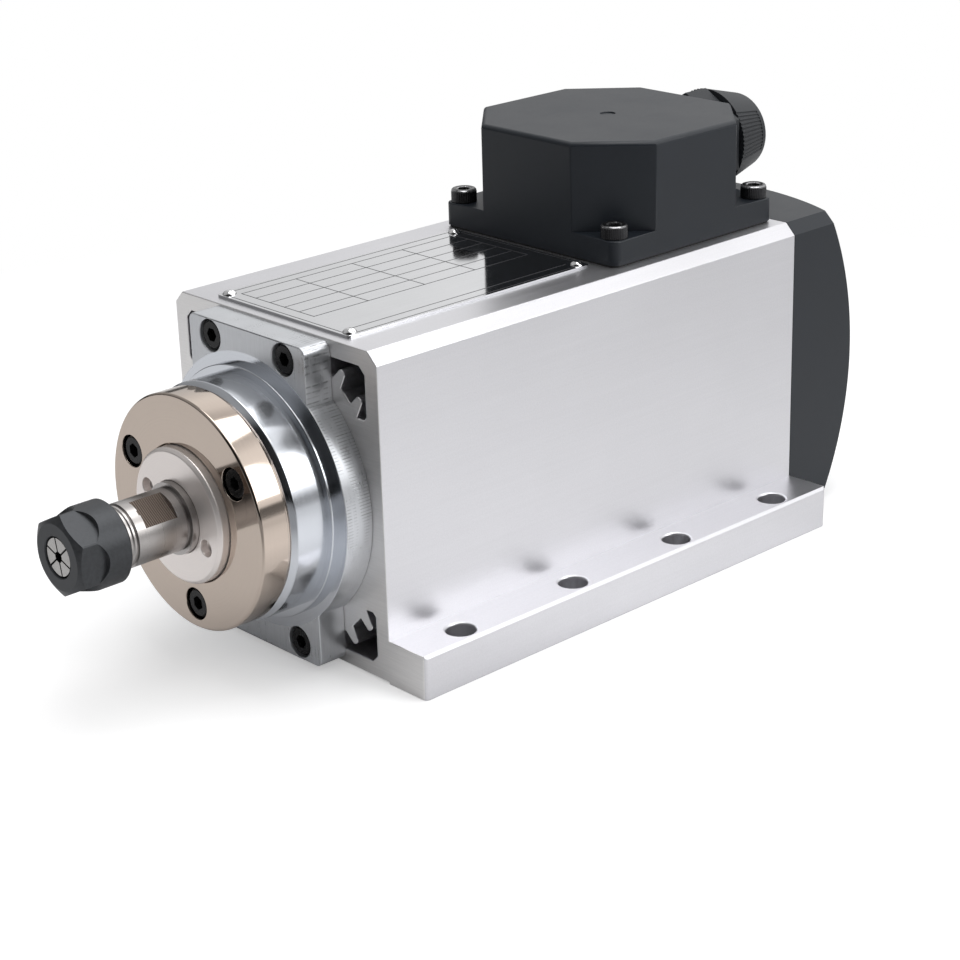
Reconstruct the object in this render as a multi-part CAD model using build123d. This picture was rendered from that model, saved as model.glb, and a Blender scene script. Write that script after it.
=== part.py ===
from build123d import *

import os
from math import atan2, cos, degrees, radians, sin, tan

# Air-cooled motor spindle: a square ducted housing on two bolt-down feet, with a collet chuck at the front,
# a fan under a domed cover at the rear, and a terminal box with a cable gland on top.
# Sizes are millimetres. X is across, +Y runs from the nose to the fan, +Z is up. The origin is the centre of
# the foot bolt pattern, on the plane that the feet stand on. The spindle axis runs along Y above it.
# Turned parts are drawn in the spindle frame: X across, Y up, and Z a station measured forwards from the
# housing's front face, so that the nose has positive stations and the fan has negative ones.

# Housing extrusion
body_width = 73.0
body_height = 79.5
body_length = 141.0
body_chamfer = 2.9
axis_offset = 0.55
bore_side_wall = 4.0
bore_top_wall = 6.7
bore_wall = 4.6
relief_depth = 0.5
relief_inset = 0.5

# Feet
foot_overhang = 12.25
foot_thickness = 11.0
foot_edge = 0.7
foot_hole_radius = 3.5
foot_hole_chamfer = 0.4
foot_hole_inset = 5.25
foot_hole_pitch = 36.5
foot_hole_count = 4

# Cooling ducts in the corners of the extrusion, with fins that stand on the bore wall
duct_side_wall = 4.25
duct_top_wall = 4.1
duct_width = 11.7
duct_depth = 12.4
duct_corner = 1.8
fin_base_width = 4.0
fin_tip_width = 2.0
fin_tip_round = 0.9
fin_length = 3.9
fin_root = 2.0
fin_direction = 52.5
fin_places = (41.0, 52.6)

# Fits
fit_gap = 0.03
rotor_air_gap = 0.4

# Socket cap screws, all of one size
screw_radius = 2.0
screw_head_radius = 3.5
screw_head_height = 4.0
screw_head_chamfer = 0.4
socket_across_flats = 3.0
socket_depth = 2.0
screw_clearance = 0.2
counterbore_clearance = 0.35
counterbore_spare = 0.5
tapped_spare = 1.5

# Front bearing housing: lugged plate, boss and turned nose
plate_thickness = 7.5
plate_radius = 33.0
lug_width = 42.0
lug_margin = 0.5
lug_round = 2.0
boss_radius = 30.3
boss_height = 2.0
nose_radius = 28.5
nose_station = 19.0
nose_chamfer = 0.5
end_screw_across = 13.25
end_screw_inset = 4.7
front_screw_length = 14.0

# Front bearing pair
front_bearing_bore = 8.5
front_bearing_outer = 17.5
front_bearing_width = 10.0
front_bearing_count = 2
front_ball_count = 10
race_thickness = 2.6
race_chamfer = 0.5
ball_radius = 2.2
cage_thickness = 1.2
bearing_lip = 2.5
bearing_lip_width = 2.8

# Front bearing cover ring
cover_radius = 28.0
cover_thickness = 7.25
cover_edge = 0.4
cover_groove_width = 0.9
cover_groove_depth = 0.7
cover_bore_radius = 16.35
cover_bore_depth = 4.5
cover_throat_radius = 12.0
cover_screw_circle = 22.0
cover_screw_count = 3
cover_screw_turn = 33.0
cover_screw_length = 10.0

# Dust cap that clamps the front bearings' inner rings
cap_side_gap = 0.3
cap_proud = 2.7
cap_edge = 0.8
cap_recess = 3.6
cap_hub_radius = 11.2
pin_hole_radius = 2.0
pin_hole_depth = 2.0
pin_hole_circle = 11.4
pin_hole_turn = 12.0

# Collet
taper_angle = 8.0
cone_angle = 30.0
collet_front_station = 61.2
collet_length = 18.0
collet_front_radius = 4.4
collet_front_land = 0.5
collet_shoulder_radius = 5.75
collet_shoulder_land = 1.1
collet_groove_radius = 4.9
collet_groove_width = 1.5
collet_bore_radius = 1.25
collet_slot_width = 0.4
collet_slot_count = 6
collet_slot_length = 14.5
collet_slot_turn = 16.0

# Collet nut
nut_radius = 9.7
nut_length = 13.15
nut_edge = 0.4
nut_face_radius = 7.7
nut_face_angle = 30.0
nut_across_flats = 17.0
nut_flat_count = 6
nut_flat_turn = 3.0
nut_flat_length = 7.1
nut_flat_cutter = 6.0
nut_mouth_radius = 4.8
nut_mouth_land = 1.35
nut_mouth_edge = 0.2
nut_thread_gap = 0.06
nut_relief = 0.5
nut_relief_length = 2.0
chuck_gap = 0.1

# Shaft
rotor_turn = -36.0
nose_setback = 0.5
nose_thread_radius = 7.0
nose_thread_chamfer = 0.4
nose_thread_spare = 0.3
shaft_radius = 7.5
runout_length = 3.0
runout_radius = 7.2
runout_groove = 0.25
runout_groove_count = 3
cap_thread_proud = 1.6
cap_relief_width = 0.6
cap_relief_depth = 0.4
spanner_width = 13.0
spanner_length = 8.5
spanner_setback = 2.4
shank_bore_radius = 3.2
shank_bore_depth = 9.0
bearing_shoulder_radius = 11.0
bearing_shoulder_length = 8.0
rotor_seat_radius = 10.0
rear_shaft_radius = 8.0
rear_bearing_bore = 6.0
fan_seat_radius = 5.0
fan_thread_radius = 4.0
fan_thread_proud = 1.0

# Motor
stator_front_station = -26.0
stator_rear_gap = 39.0
stator_bore_share = 0.591
stator_slot_count = 18
stator_slot_share = 0.64
stator_yoke = 4.5
stator_slot_inner_width = 3.6
stator_slot_outer_width = 5.6
slot_liner = 0.1
winding_overhang = 12.0
winding_bore_share = 0.646
winding_gap = 2.0
winding_round = 3.0
rotor_overhang = 1.0
rotor_ring_length = 5.0
rotor_ring_share = 0.665
rotor_ring_inset = 0.6
rotor_bar_count = 14
rotor_bar_radius = 1.5
rotor_bar_inset = 2.3

# Rear bracket, bearing and preload
bracket_thickness = 6.0
bracket_rim = 0.5
bracket_gap = 0.5
bracket_spigot = 4.0
bracket_hub_wall = 4.0
bracket_throat_gap = 2.5
rear_bearing_outer = 14.0
rear_bearing_width = 8.0
rear_bearing_inset = 1.0
rear_ball_count = 8
rear_ball_radius = 1.9
spring_thickness = 0.8
spring_width = 2.6
circlip_thickness = 1.0
circlip_proud = 1.6
circlip_groove = 0.4
circlip_opening = 3.0

# Cooling fan
fan_gap = 3.0
fan_inset = 4.5
fan_plate_thickness = 1.6
fan_hub_radius = 9.0
fan_hub_height = 7.0
fan_blade_height = 9.0
fan_blade_thickness = 1.4
fan_blade_count = 9
fan_blade_curve = 16.0
fan_blade_root = 0.8
fan_washer_radius = 8.0
fan_washer_thickness = 1.6
fan_nut_across_flats = 13.0
fan_nut_height = 5.0

# Rear cover
dome_height = 31.8
dome_radius = 90.0
cover_wall = 2.5
column_radius = 5.3
column_seat = 12.0
rear_screw_length = 22.0
grille_ring_count = 5
grille_first_radius = 6.0
grille_slot = 2.2
grille_rib = 2.2
grille_spoke_count = 6
grille_spoke_width = 3.0
grille_spoke_turn = 90.0

# Terminal box
box_width = 60.4
box_length = 58.4
box_height = 28.1
box_rear_margin = 1.35
box_base_height = 6.0
box_base_round = 2.4
box_corner_cut = 14.6
box_wall = 2.5
box_top_round = 1.2
box_screw_inset = 3.6
box_screw_head_radius = 3.3
box_screw_head_height = 3.4
box_screw_engagement = 3.6
gate_mark_radius = 2.0
gate_mark_depth = 0.3
gasket_thickness = 0.5
gasket_inset = 0.4
lead_hole_radius = 8.5
lead_hole_setback = 3.95
terminal_lead_run = 10.2
terminal_pitch = 6.5
terminal_count = 3
terminal_length = 14.0
terminal_base_height = 8.0
terminal_height = 11.0
terminal_barrier = 1.2
terminal_screw_radius = 1.8
terminal_thread_radius = 0.9
terminal_screw_height = 1.4
terminal_screw_depth = 4.0
terminal_screw_inset = 3.6
lead_radius = 0.9
lead_bend = 3.0
lead_height = 4.0
lead_end_gap = 0.3

# Cable gland
gland_top_gap = 1.0
gland_thread_radius = 7.6
gland_hole_clearance = 0.2
gland_across_flats = 23.4
gland_hex_thickness = 8.5
gland_hex_turn = 30.0
gland_edge = 0.5
gland_bore_radius = 5.6
gland_neck_radius = 8.4
gland_neck_length = 8.5
gland_nut_across_flats = 19.0
gland_nut_thickness = 4.0
gland_thread_proud = 1.5
gland_cap_radius = 13.1
gland_cap_end_radius = 9.9
gland_cap_length = 12.8
gland_cap_round = 1.3
gland_cap_mouth = 5.2
gland_grip_count = 3
gland_grip_turn = -10.0
gland_flute_count = 12
gland_flute_pitch = 5.0
gland_flute_radius = 0.4
gland_flute_depth = 0.25
gland_seal_bore = 3.5
gland_seal_length = 6.0
gland_seal_flange = 1.2
gland_seal_flange_radius = 7.6

# Nameplate
nameplate_width = 48.0
nameplate_rear_gap = 2.25
nameplate_thickness = 0.6
nameplate_front_margin = 3.0
nameplate_round = 1.0
rivet_inset = 2.2
rivet_head_radius = 1.5
rivet_head_height = 0.9
rivet_shank_radius = 0.9
rivet_shank_length = 3.0

# Places worked out from the sizes above
front_face = -body_length / 2
rear_face = body_length / 2
axis_height = body_height / 2 + axis_offset
axis_top = body_height - axis_height
bore_radius = min(body_width / 2 - bore_side_wall, axis_top - bore_top_wall)
lug_height = 2 * (axis_top - lug_margin)
end_screw_up = axis_top - end_screw_inset
cone_slope = tan(radians(cone_angle))
end_screws = [(x, y) for x in (end_screw_across, -end_screw_across) for y in (end_screw_up, -end_screw_up)]
cover_front_station = nose_station + cover_groove_width + cover_thickness
cap_front_station = cover_front_station + cap_proud
cap_thread_station = cap_front_station + cap_thread_proud
front_bearings_rear = nose_station - front_bearing_count * front_bearing_width
front_seat_station = plate_thickness - screw_head_height - counterbore_spare
cover_seat_station = cover_front_station - screw_head_height - counterbore_spare
collet_cone_rear = (
    collet_front_station - collet_front_land - (collet_shoulder_radius - collet_front_radius) / cone_slope
)
collet_groove_front = collet_cone_rear - collet_shoulder_land
collet_taper_front = collet_groove_front - collet_groove_width
collet_rear_station = collet_front_station - collet_length
nose_end_station = collet_taper_front - nose_setback
nut_cone_front = collet_cone_rear + (collet_shoulder_radius + chuck_gap - nut_mouth_radius) / cone_slope
nut_front_station = nut_cone_front + nut_mouth_land
nut_rear_station = nut_front_station - nut_length
thread_start_station = nut_rear_station - nose_thread_spare
runout_rear_station = thread_start_station - runout_length
spanner_front_station = runout_rear_station - spanner_setback
stator_rear_station = stator_rear_gap - body_length
stator_length = stator_front_station - stator_rear_station
rotor_front_station = stator_front_station + rotor_overhang
rotor_rear_station = stator_rear_station - rotor_overhang
stator_bore_radius = stator_bore_share * bore_radius
stator_slot_inner = stator_slot_share * bore_radius
winding_inner_radius = winding_bore_share * bore_radius
rotor_radius = stator_bore_radius - rotor_air_gap
rotor_ring_inner = rotor_ring_share * rotor_radius
stator_slot_outer = bore_radius - stator_yoke
winding_outer_radius = bore_radius - winding_gap
rear_station = -body_length
rear_bearing_rear = rear_station + rear_bearing_inset
rear_bearing_front = rear_bearing_rear + rear_bearing_width
bracket_rear_station = rear_station - bracket_thickness
bracket_radius = bore_radius + bracket_rim
bracket_height = 2 * (axis_top - cover_wall - bracket_gap)
fan_radius = bore_radius - fan_inset
fan_front_station = bracket_rear_station - fan_gap
fan_hub_rear = fan_front_station - fan_hub_height
fan_washer_rear = fan_hub_rear - fan_washer_thickness
fan_nut_rear = fan_washer_rear - fan_nut_height
column_seat_station = rear_station - column_seat
box_rear = rear_face - box_rear_margin
box_centre = box_rear - box_length / 2
box_floor = body_height + gasket_thickness
box_lug_top = box_floor + box_base_height
box_screw_length = box_base_height + gasket_thickness + box_screw_engagement
box_screws = [
    (x, box_centre + y)
    for x in (box_width / 2 - box_screw_inset, box_screw_inset - box_width / 2)
    for y in (box_length / 2 - box_screw_inset, box_screw_inset - box_length / 2)
]
lead_hole_centre = front_face - stator_rear_station + lead_hole_setback
terminal_centre = lead_hole_centre + terminal_lead_run + terminal_length / 2
terminal_top = body_height + terminal_base_height
terminal_places = [(index - (terminal_count - 1) / 2) * terminal_pitch for index in range(terminal_count)]
terminal_reach = terminal_length / 2 - terminal_screw_inset
terminal_points = [
    (x, terminal_centre + y) for x in terminal_places for y in (terminal_reach, -terminal_reach)
]
gland_height = gasket_thickness + box_height - box_wall - gland_top_gap - gland_nut_across_flats / 2
gland_neck_end = gland_hex_thickness + gland_neck_length
gland_cap_end = gland_hex_thickness + gland_cap_length
nameplate_front = front_face + nameplate_front_margin
nameplate_length = box_rear - box_length - nameplate_rear_gap - nameplate_front
rivets = [
    (x, nameplate_front + y)
    for x in (nameplate_width / 2 - rivet_inset, rivet_inset - nameplate_width / 2)
    for y in (rivet_inset, nameplate_length - rivet_inset)
]

# Frames that the turned parts are drawn in
spindle_frame = Plane(origin=(0, front_face, axis_height), x_dir=(1, 0, 0), z_dir=(0, -1, 0)).location
rotor_frame = spindle_frame * Rot(0, 0, rotor_turn)
gland_origin = (0, box_rear, body_height + gland_height)
gland_frame = Plane(origin=gland_origin, x_dir=(1, 0, 0), z_dir=(0, 1, 0)).location


def turned(*outline):
    """A solid turned about the local Z axis, from a closed outline of (radius, station) points."""
    profile = make_face(Polyline(*[(radius, 0, station) for radius, station in outline], close=True))
    return revolve(profile, axis=Axis.Z)


def post(radius, bottom, top):
    """A round bar about the local Z axis between two stations."""
    return Pos(0, 0, bottom) * Cylinder(radius, top - bottom, align=(Align.CENTER, Align.CENTER, Align.MIN))


def ring(inner, outer, bottom, top):
    """A plain ring about the local Z axis between two stations."""
    return turned((inner, bottom), (outer, bottom), (outer, top), (inner, top))


def hexagon(across_flats, bottom, top, turn=0.0):
    """A hexagonal bar about the local Z axis between two stations."""
    outline = Rot(0, 0, turn) * RegularPolygon(across_flats / 2, 6, major_radius=False)
    return extrude(Pos(0, 0, bottom) * outline, top - bottom)


def polar(shape, count, turn=0.0):
    """Copies of a shape spaced evenly round the local Z axis."""
    return [Rot(0, 0, turn + 360 * index / count) * shape for index in range(count)]


def at_points(shape, points):
    """Copies of a shape moved to (x, y) points."""
    return [Pos(x, y, 0) * shape for x, y in points]


def placed(frame, shapes):
    """Shapes carried from a frame's own axes into the part's frame."""
    return [frame * shape for shape in shapes]


def cap_screw(length, head_radius=screw_head_radius, head_height=screw_head_height):
    """Socket cap screw that seats at Z = 0, with its head above and its shank below."""
    head = post(head_radius, 0, head_height)
    head = chamfer(head.edges().group_by(Axis.Z)[-1], screw_head_chamfer)
    socket = hexagon(socket_across_flats, head_height - socket_depth, head_height)
    return head - socket + post(screw_radius, -length, 0)


def screw_hole(depth, counterbore_depth):
    """A counterbore above Z = 0 and a clearance hole below it."""
    counterbore = post(screw_head_radius + counterbore_clearance, 0, counterbore_depth)
    return counterbore + post(screw_radius + screw_clearance, -depth, 0)


def tapped_hole(depth):
    """A tapped hole that runs down from Z = 0, bored to the screw's outside."""
    return post(screw_radius + fit_gap, -depth, 0)


def air_duct():
    """Cooling duct of the upper right corner: a pocket outside the bore wall, with two tapered fins in it."""
    right = body_width / 2 - duct_side_wall
    top = axis_top - duct_top_wall
    left = right - duct_width
    bottom = top - duct_depth
    pocket = make_face(
        Polyline(
            (left, top), (right - duct_corner, top), (right, top - duct_corner),
            (right, bottom + duct_corner / 2), (right - duct_corner / 2, bottom), (left, bottom), close=True,
        )
    )
    wall_radius = bore_radius + bore_wall
    pocket = pocket - Circle(wall_radius)
    fin = make_face(
        Polyline(
            (-fin_root, fin_base_width / 2), (fin_length, fin_tip_width / 2),
            (fin_length, -fin_tip_width / 2), (-fin_root, -fin_base_width / 2), close=True,
        )
    )
    fin = fillet(fin.vertices().group_by(Axis.X)[-1], fin_tip_round)
    for place in fin_places:
        foot = Pos(wall_radius * cos(radians(place)), wall_radius * sin(radians(place)))
        pocket = pocket - foot * Rot(0, 0, fin_direction) * fin
    return pocket


def housing_section():
    """Cross-section of the extrusion in the spindle frame: square body, feet, bore and four ducts."""
    side = body_width / 2
    foot_side = side + foot_overhang
    foot_top = foot_thickness - axis_height
    half = [
        (0, axis_top),
        (side - body_chamfer, axis_top),
        (side, axis_top - body_chamfer),
        (side, foot_top),
        (foot_side - foot_edge, foot_top),
        (foot_side, foot_top - foot_edge),
        (foot_side, -axis_height),
        (side - relief_inset, -axis_height),
        (side - relief_inset, relief_depth - axis_height),
        (0, relief_depth - axis_height),
    ]
    outline = half + [(-x, y) for x, y in reversed(half[1:-1])]
    section = make_face(Polyline(*outline, close=True)) - Circle(bore_radius)
    upper = air_duct()
    lower = Pos(0, body_height - 2 * axis_height) * mirror(upper, Plane.XZ)
    return section - upper - lower - mirror(upper, Plane.YZ) - mirror(lower, Plane.YZ)


def motor_housing():
    """Extruded aluminium housing with its foot holes, end screw holes and the holes in its top."""
    body = spindle_frame * extrude(housing_section(), -body_length)
    hole_x = body_width / 2 + foot_overhang - foot_hole_inset
    rim = Pos(0, 0, foot_thickness - foot_hole_chamfer) * Cone(
        foot_hole_radius, foot_hole_radius + foot_hole_chamfer, foot_hole_chamfer,
        align=(Align.CENTER, Align.CENTER, Align.MIN),
    )
    hole = post(foot_hole_radius, 0, foot_thickness) + rim
    rows = [(index - (foot_hole_count - 1) / 2) * foot_hole_pitch for index in range(foot_hole_count)]
    body = body - at_points(hole, [(x, y) for x in (hole_x, -hole_x) for y in rows])
    front_tapped = tapped_hole(front_screw_length - front_seat_station + tapped_spare)
    body = body - placed(spindle_frame, at_points(front_tapped, end_screws))
    rear_tapped = tapped_hole(rear_screw_length - column_seat + tapped_spare)
    rear_tapped = Pos(0, 0, rear_station) * Rot(180, 0, 0) * rear_tapped
    body = body - placed(spindle_frame, at_points(rear_tapped, end_screws))
    box_tapped = post(screw_radius + fit_gap, body_height - duct_top_wall, body_height)
    body = body - at_points(box_tapped, box_screws)
    body = body - Pos(0, lead_hole_centre) * post(lead_hole_radius, axis_height, body_height)
    rivet_hole = post(rivet_shank_radius + fit_gap, body_height - rivet_shank_length, body_height)
    return body - at_points(rivet_hole, rivets)


def bearing(bore, outer, front, width, ball, count):
    """Outer ring, inner ring and ball set of one ball bearing, with its front face at a station."""
    rear = front - width
    inner_face = outer - race_thickness
    outer_face = bore + race_thickness
    outer_ring = turned(
        (inner_face, rear), (outer - race_chamfer, rear), (outer, rear + race_chamfer),
        (outer, front - race_chamfer), (outer - race_chamfer, front), (inner_face, front),
    )
    inner_ring = turned(
        (bore + race_chamfer, rear), (outer_face, rear), (outer_face, front),
        (bore + race_chamfer, front), (bore, front - race_chamfer), (bore, rear + race_chamfer),
    )
    middle = (front + rear) / 2
    pitch = (inner_face + outer_face) / 2
    groove = Pos(0, 0, middle) * Torus(pitch, ball + fit_gap)
    balls = ring(pitch - cage_thickness / 2, pitch + cage_thickness / 2, middle - ball, middle + ball)
    balls = balls + polar(Pos(pitch, 0, middle) * Sphere(ball), count)
    return outer_ring - groove, inner_ring - groove, balls


def front_bearings():
    """Matched pair of bearings in the nose, as lists of outer rings, inner rings and ball sets."""
    pair = [
        bearing(
            front_bearing_bore + fit_gap, front_bearing_outer - fit_gap,
            nose_station - index * front_bearing_width, front_bearing_width, ball_radius, front_ball_count,
        )
        for index in range(front_bearing_count)
    ]
    return zip(*pair)


def front_bearing_housing():
    """Lugged plate with its boss, turned nose and locating spigot, bored for the bearing pair."""
    lugs = extrude(Circle(plate_radius) + RectangleRounded(lug_width, lug_height, lug_round), plate_thickness)
    boss_station = plate_thickness + boss_height
    lip_radius = front_bearing_outer - bearing_lip
    lip_rear = front_bearings_rear - bearing_lip_width
    barrel = turned(
        (lip_radius, lip_rear), (bore_radius - fit_gap, lip_rear), (bore_radius - fit_gap, 0),
        (boss_radius, 0), (boss_radius, boss_station), (nose_radius, boss_station),
        (nose_radius, nose_station - nose_chamfer), (nose_radius - nose_chamfer, nose_station),
        (lip_radius, nose_station),
    )
    body = lugs + barrel - post(lip_radius, lip_rear, nose_station)
    body = body - post(front_bearing_outer, front_bearings_rear, nose_station)
    hole = Pos(0, 0, front_seat_station) * screw_hole(plate_thickness, plate_thickness)
    body = body - at_points(hole, end_screws)
    tapped = tapped_hole(cover_screw_length - cover_seat_station + nose_station + tapped_spare)
    return body - polar(Pos(cover_screw_circle, 0, nose_station) * tapped, cover_screw_count, cover_screw_turn)


def front_cover_ring():
    """Ring in front of the nose: it clamps the outer rings and leaves a narrow gap round the dust cap."""
    groove_front = nose_station + cover_groove_width
    shelf = cover_front_station - cover_bore_depth
    body = turned(
        (cover_throat_radius, nose_station), (cover_radius - cover_groove_depth, nose_station),
        (cover_radius - cover_groove_depth, groove_front), (cover_radius, groove_front),
        (cover_radius, cover_front_station - cover_edge), (cover_radius - cover_edge, cover_front_station),
        (cover_bore_radius, cover_front_station), (cover_bore_radius, shelf), (cover_throat_radius, shelf),
    )
    hole = Pos(cover_screw_circle, 0, cover_seat_station) * screw_hole(cover_thickness, cover_thickness)
    return body - polar(hole, cover_screw_count, cover_screw_turn)


def dust_cap():
    """Round nut with two pin-spanner holes: its hub presses on the inner rings and its rim shields them."""
    rim_rear = cover_front_station - cap_recess
    thread = front_bearing_bore + fit_gap
    rim = cover_bore_radius - cap_side_gap
    body = turned(
        (thread, nose_station), (cap_hub_radius, nose_station), (cap_hub_radius, rim_rear),
        (rim, rim_rear), (rim, cap_front_station - cap_edge),
        (rim - cap_edge, cap_front_station), (thread, cap_front_station),
    )
    pin_hole = post(pin_hole_radius, cap_front_station - pin_hole_depth, cap_front_station)
    return body - polar(Pos(pin_hole_circle, 0) * pin_hole, 2, pin_hole_turn)


def taper_radius(station):
    """Radius of the chuck taper at a station."""
    return collet_shoulder_radius - (collet_taper_front - station) * tan(radians(taper_angle))


def spindle_shaft():
    """Stepped shaft with the tapered chuck bore, the threads' outsides, spanner flats and seats."""
    relief_front = cap_thread_station + cap_relief_width
    outline = [
        (nose_thread_radius - nose_thread_chamfer, nose_end_station),
        (nose_thread_radius, nose_end_station - nose_thread_chamfer),
        (nose_thread_radius, thread_start_station),
    ]
    pitch = runout_length / runout_groove_count
    for index in range(runout_groove_count):
        start = thread_start_station - index * pitch
        outline += [
            (runout_radius, start), (runout_radius, start - pitch / 2),
            (runout_radius - runout_groove, start - pitch * 3 / 4),
        ]
    outline += [
        (shaft_radius, runout_rear_station), (shaft_radius, relief_front),
        (shaft_radius - cap_relief_depth, relief_front), (shaft_radius - cap_relief_depth, cap_thread_station),
        (front_bearing_bore, cap_thread_station), (front_bearing_bore, front_bearings_rear),
        (bearing_shoulder_radius, front_bearings_rear),
        (bearing_shoulder_radius, front_bearings_rear - bearing_shoulder_length),
        (rotor_seat_radius, front_bearings_rear - bearing_shoulder_length),
        (rotor_seat_radius, rotor_rear_station), (rear_shaft_radius, rotor_rear_station),
        (rear_shaft_radius, rear_bearing_front), (rear_bearing_bore, rear_bearing_front),
        (rear_bearing_bore, rear_bearing_rear), (rear_bearing_bore - circlip_groove, rear_bearing_rear),
        (rear_bearing_bore - circlip_groove, rear_bearing_rear - circlip_thickness),
        (rear_bearing_bore, rear_bearing_rear - circlip_thickness), (rear_bearing_bore, fan_front_station),
        (fan_seat_radius, fan_front_station), (fan_seat_radius, fan_hub_rear),
        (fan_thread_radius, fan_hub_rear), (fan_thread_radius, fan_nut_rear - fan_thread_proud),
        (0, fan_nut_rear - fan_thread_proud), (0, nose_end_station),
    ]
    body = turned(*outline)
    socket_bottom = collet_rear_station - nose_setback
    socket = turned(
        (0, nose_end_station), (taper_radius(nose_end_station) + chuck_gap, nose_end_station),
        (taper_radius(socket_bottom) + chuck_gap, socket_bottom), (shank_bore_radius, socket_bottom),
        (shank_bore_radius, socket_bottom - shank_bore_depth), (0, socket_bottom - shank_bore_depth),
    )
    flat = Box(2 * shaft_radius, shaft_radius, spanner_length, align=(Align.CENTER, Align.MIN, Align.MAX))
    flat = Pos(0, spanner_width / 2, spanner_front_station) * flat
    return body - socket - polar(flat, 2)


def collet():
    """Spring collet: long taper, nut groove and front cone, slit from both ends by turns."""
    body = turned(
        (collet_bore_radius, collet_rear_station), (taper_radius(collet_rear_station), collet_rear_station),
        (collet_shoulder_radius, collet_taper_front), (collet_groove_radius, collet_taper_front),
        (collet_groove_radius, collet_groove_front), (collet_shoulder_radius, collet_groove_front),
        (collet_shoulder_radius, collet_cone_rear),
        (collet_front_radius, collet_front_station - collet_front_land),
        (collet_front_radius, collet_front_station), (collet_bore_radius, collet_front_station),
    )
    reach = 2 * collet_shoulder_radius
    slit = Box(reach, collet_slot_width, collet_slot_length, align=(Align.MIN, Align.CENTER, Align.MAX))
    front_slit = Pos(0, 0, collet_front_station) * slit
    rear_slit = Pos(0, 0, collet_rear_station + collet_slot_length) * slit
    body = body - polar(front_slit, collet_slot_count, collet_slot_turn)
    return body - polar(rear_slit, collet_slot_count, collet_slot_turn + 180 / collet_slot_count)


def collet_nut():
    """Chuck nut: round collar, six milled flats with curved run-outs, closing cone and pull-out ring."""
    front = nut_front_station
    shoulder = front - (nut_radius - nut_face_radius) * tan(radians(nut_face_angle))
    thread = nose_thread_radius + nut_thread_gap
    web_front = collet_groove_front - chuck_gap
    web_rear = collet_taper_front + chuck_gap
    cone_rear_radius = collet_shoulder_radius + 2 * chuck_gap
    cone_rear = nut_cone_front - (cone_rear_radius - nut_mouth_radius) / cone_slope
    body = turned(
        (thread, nut_rear_station), (nut_radius - nut_edge, nut_rear_station),
        (nut_radius, nut_rear_station + nut_edge), (nut_radius, shoulder), (nut_face_radius, front),
        (nut_mouth_radius + nut_mouth_edge, front), (nut_mouth_radius, front - nut_mouth_edge),
        (nut_mouth_radius, nut_cone_front),
        (cone_rear_radius, cone_rear), (cone_rear_radius, web_front),
        (collet_groove_radius + chuck_gap, web_front), (collet_groove_radius + chuck_gap, web_rear),
        (thread + nut_relief, web_rear), (thread + nut_relief, web_rear - nut_relief_length),
        (thread, web_rear - nut_relief_length),
    )
    swept = Rectangle(2 * nut_flat_cutter, nut_length, align=(Align.CENTER, Align.MAX))
    cutter = Circle(nut_flat_cutter) + swept
    side = Plane(
        origin=(0, nut_across_flats / 2, front - nut_flat_length + nut_flat_cutter),
        x_dir=(1, 0, 0), z_dir=(0, 1, 0),
    ).location
    return body - polar(side * extrude(cutter, nut_radius), nut_flat_count, nut_flat_turn)


def slot_outline(margin):
    """Cross-section of one stator slot about the X axis, drawn in by a margin on every side."""
    inner = stator_slot_inner_width / 2 - margin
    outer = stator_slot_outer_width / 2 - margin
    near = stator_slot_inner + margin
    far = stator_slot_outer - margin
    return make_face(Polyline((near, -inner), (far, -outer), (far, outer), (near, inner), close=True))


def stator_core():
    """Laminated stack with its winding slots, a light fit in the housing's bore."""
    section = Circle(bore_radius - fit_gap) - Circle(stator_bore_radius)
    section = section - polar(slot_outline(0), stator_slot_count)
    return Pos(0, 0, stator_rear_station) * extrude(section, stator_length)


def stator_windings():
    """Windings: the bars in the slots and the two rounded rings of end turns that join them."""
    bar = Pos(0, 0, stator_rear_station) * extrude(slot_outline(slot_liner), stator_length)
    turns_front = stator_front_station + winding_overhang
    end_turns = ring(winding_inner_radius, winding_outer_radius, stator_front_station, turns_front)
    rounding = min(winding_round, (winding_outer_radius - winding_inner_radius) / 3)
    end_turns = fillet(end_turns.edges().group_by(Axis.Z)[-1], rounding)
    rear_turns = Pos(0, 0, stator_front_station + stator_rear_station) * mirror(end_turns, Plane.XY)
    return end_turns + rear_turns + polar(bar, stator_slot_count)


def rotor_core():
    """Rotor stack on the shaft, pierced for the cage bars."""
    body = ring(rotor_seat_radius + fit_gap, rotor_radius, rotor_rear_station, rotor_front_station)
    bar = post(rotor_bar_radius, rotor_rear_station, rotor_front_station)
    return body - polar(Pos(rotor_radius - rotor_bar_inset, 0) * bar, rotor_bar_count)


def rotor_cage():
    """Cast cage: a ring at each end of the rotor stack and the bars that join them."""
    outer = rotor_radius - rotor_ring_inset
    front = ring(rotor_ring_inner, outer, rotor_front_station, rotor_front_station + rotor_ring_length)
    rear = ring(rotor_ring_inner, outer, rotor_rear_station - rotor_ring_length, rotor_rear_station)
    radius = rotor_bar_radius - fit_gap
    bar = Pos(rotor_radius - rotor_bar_inset, 0) * post(radius, rotor_rear_station, rotor_front_station)
    return front + rear + polar(bar, rotor_bar_count)


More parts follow.
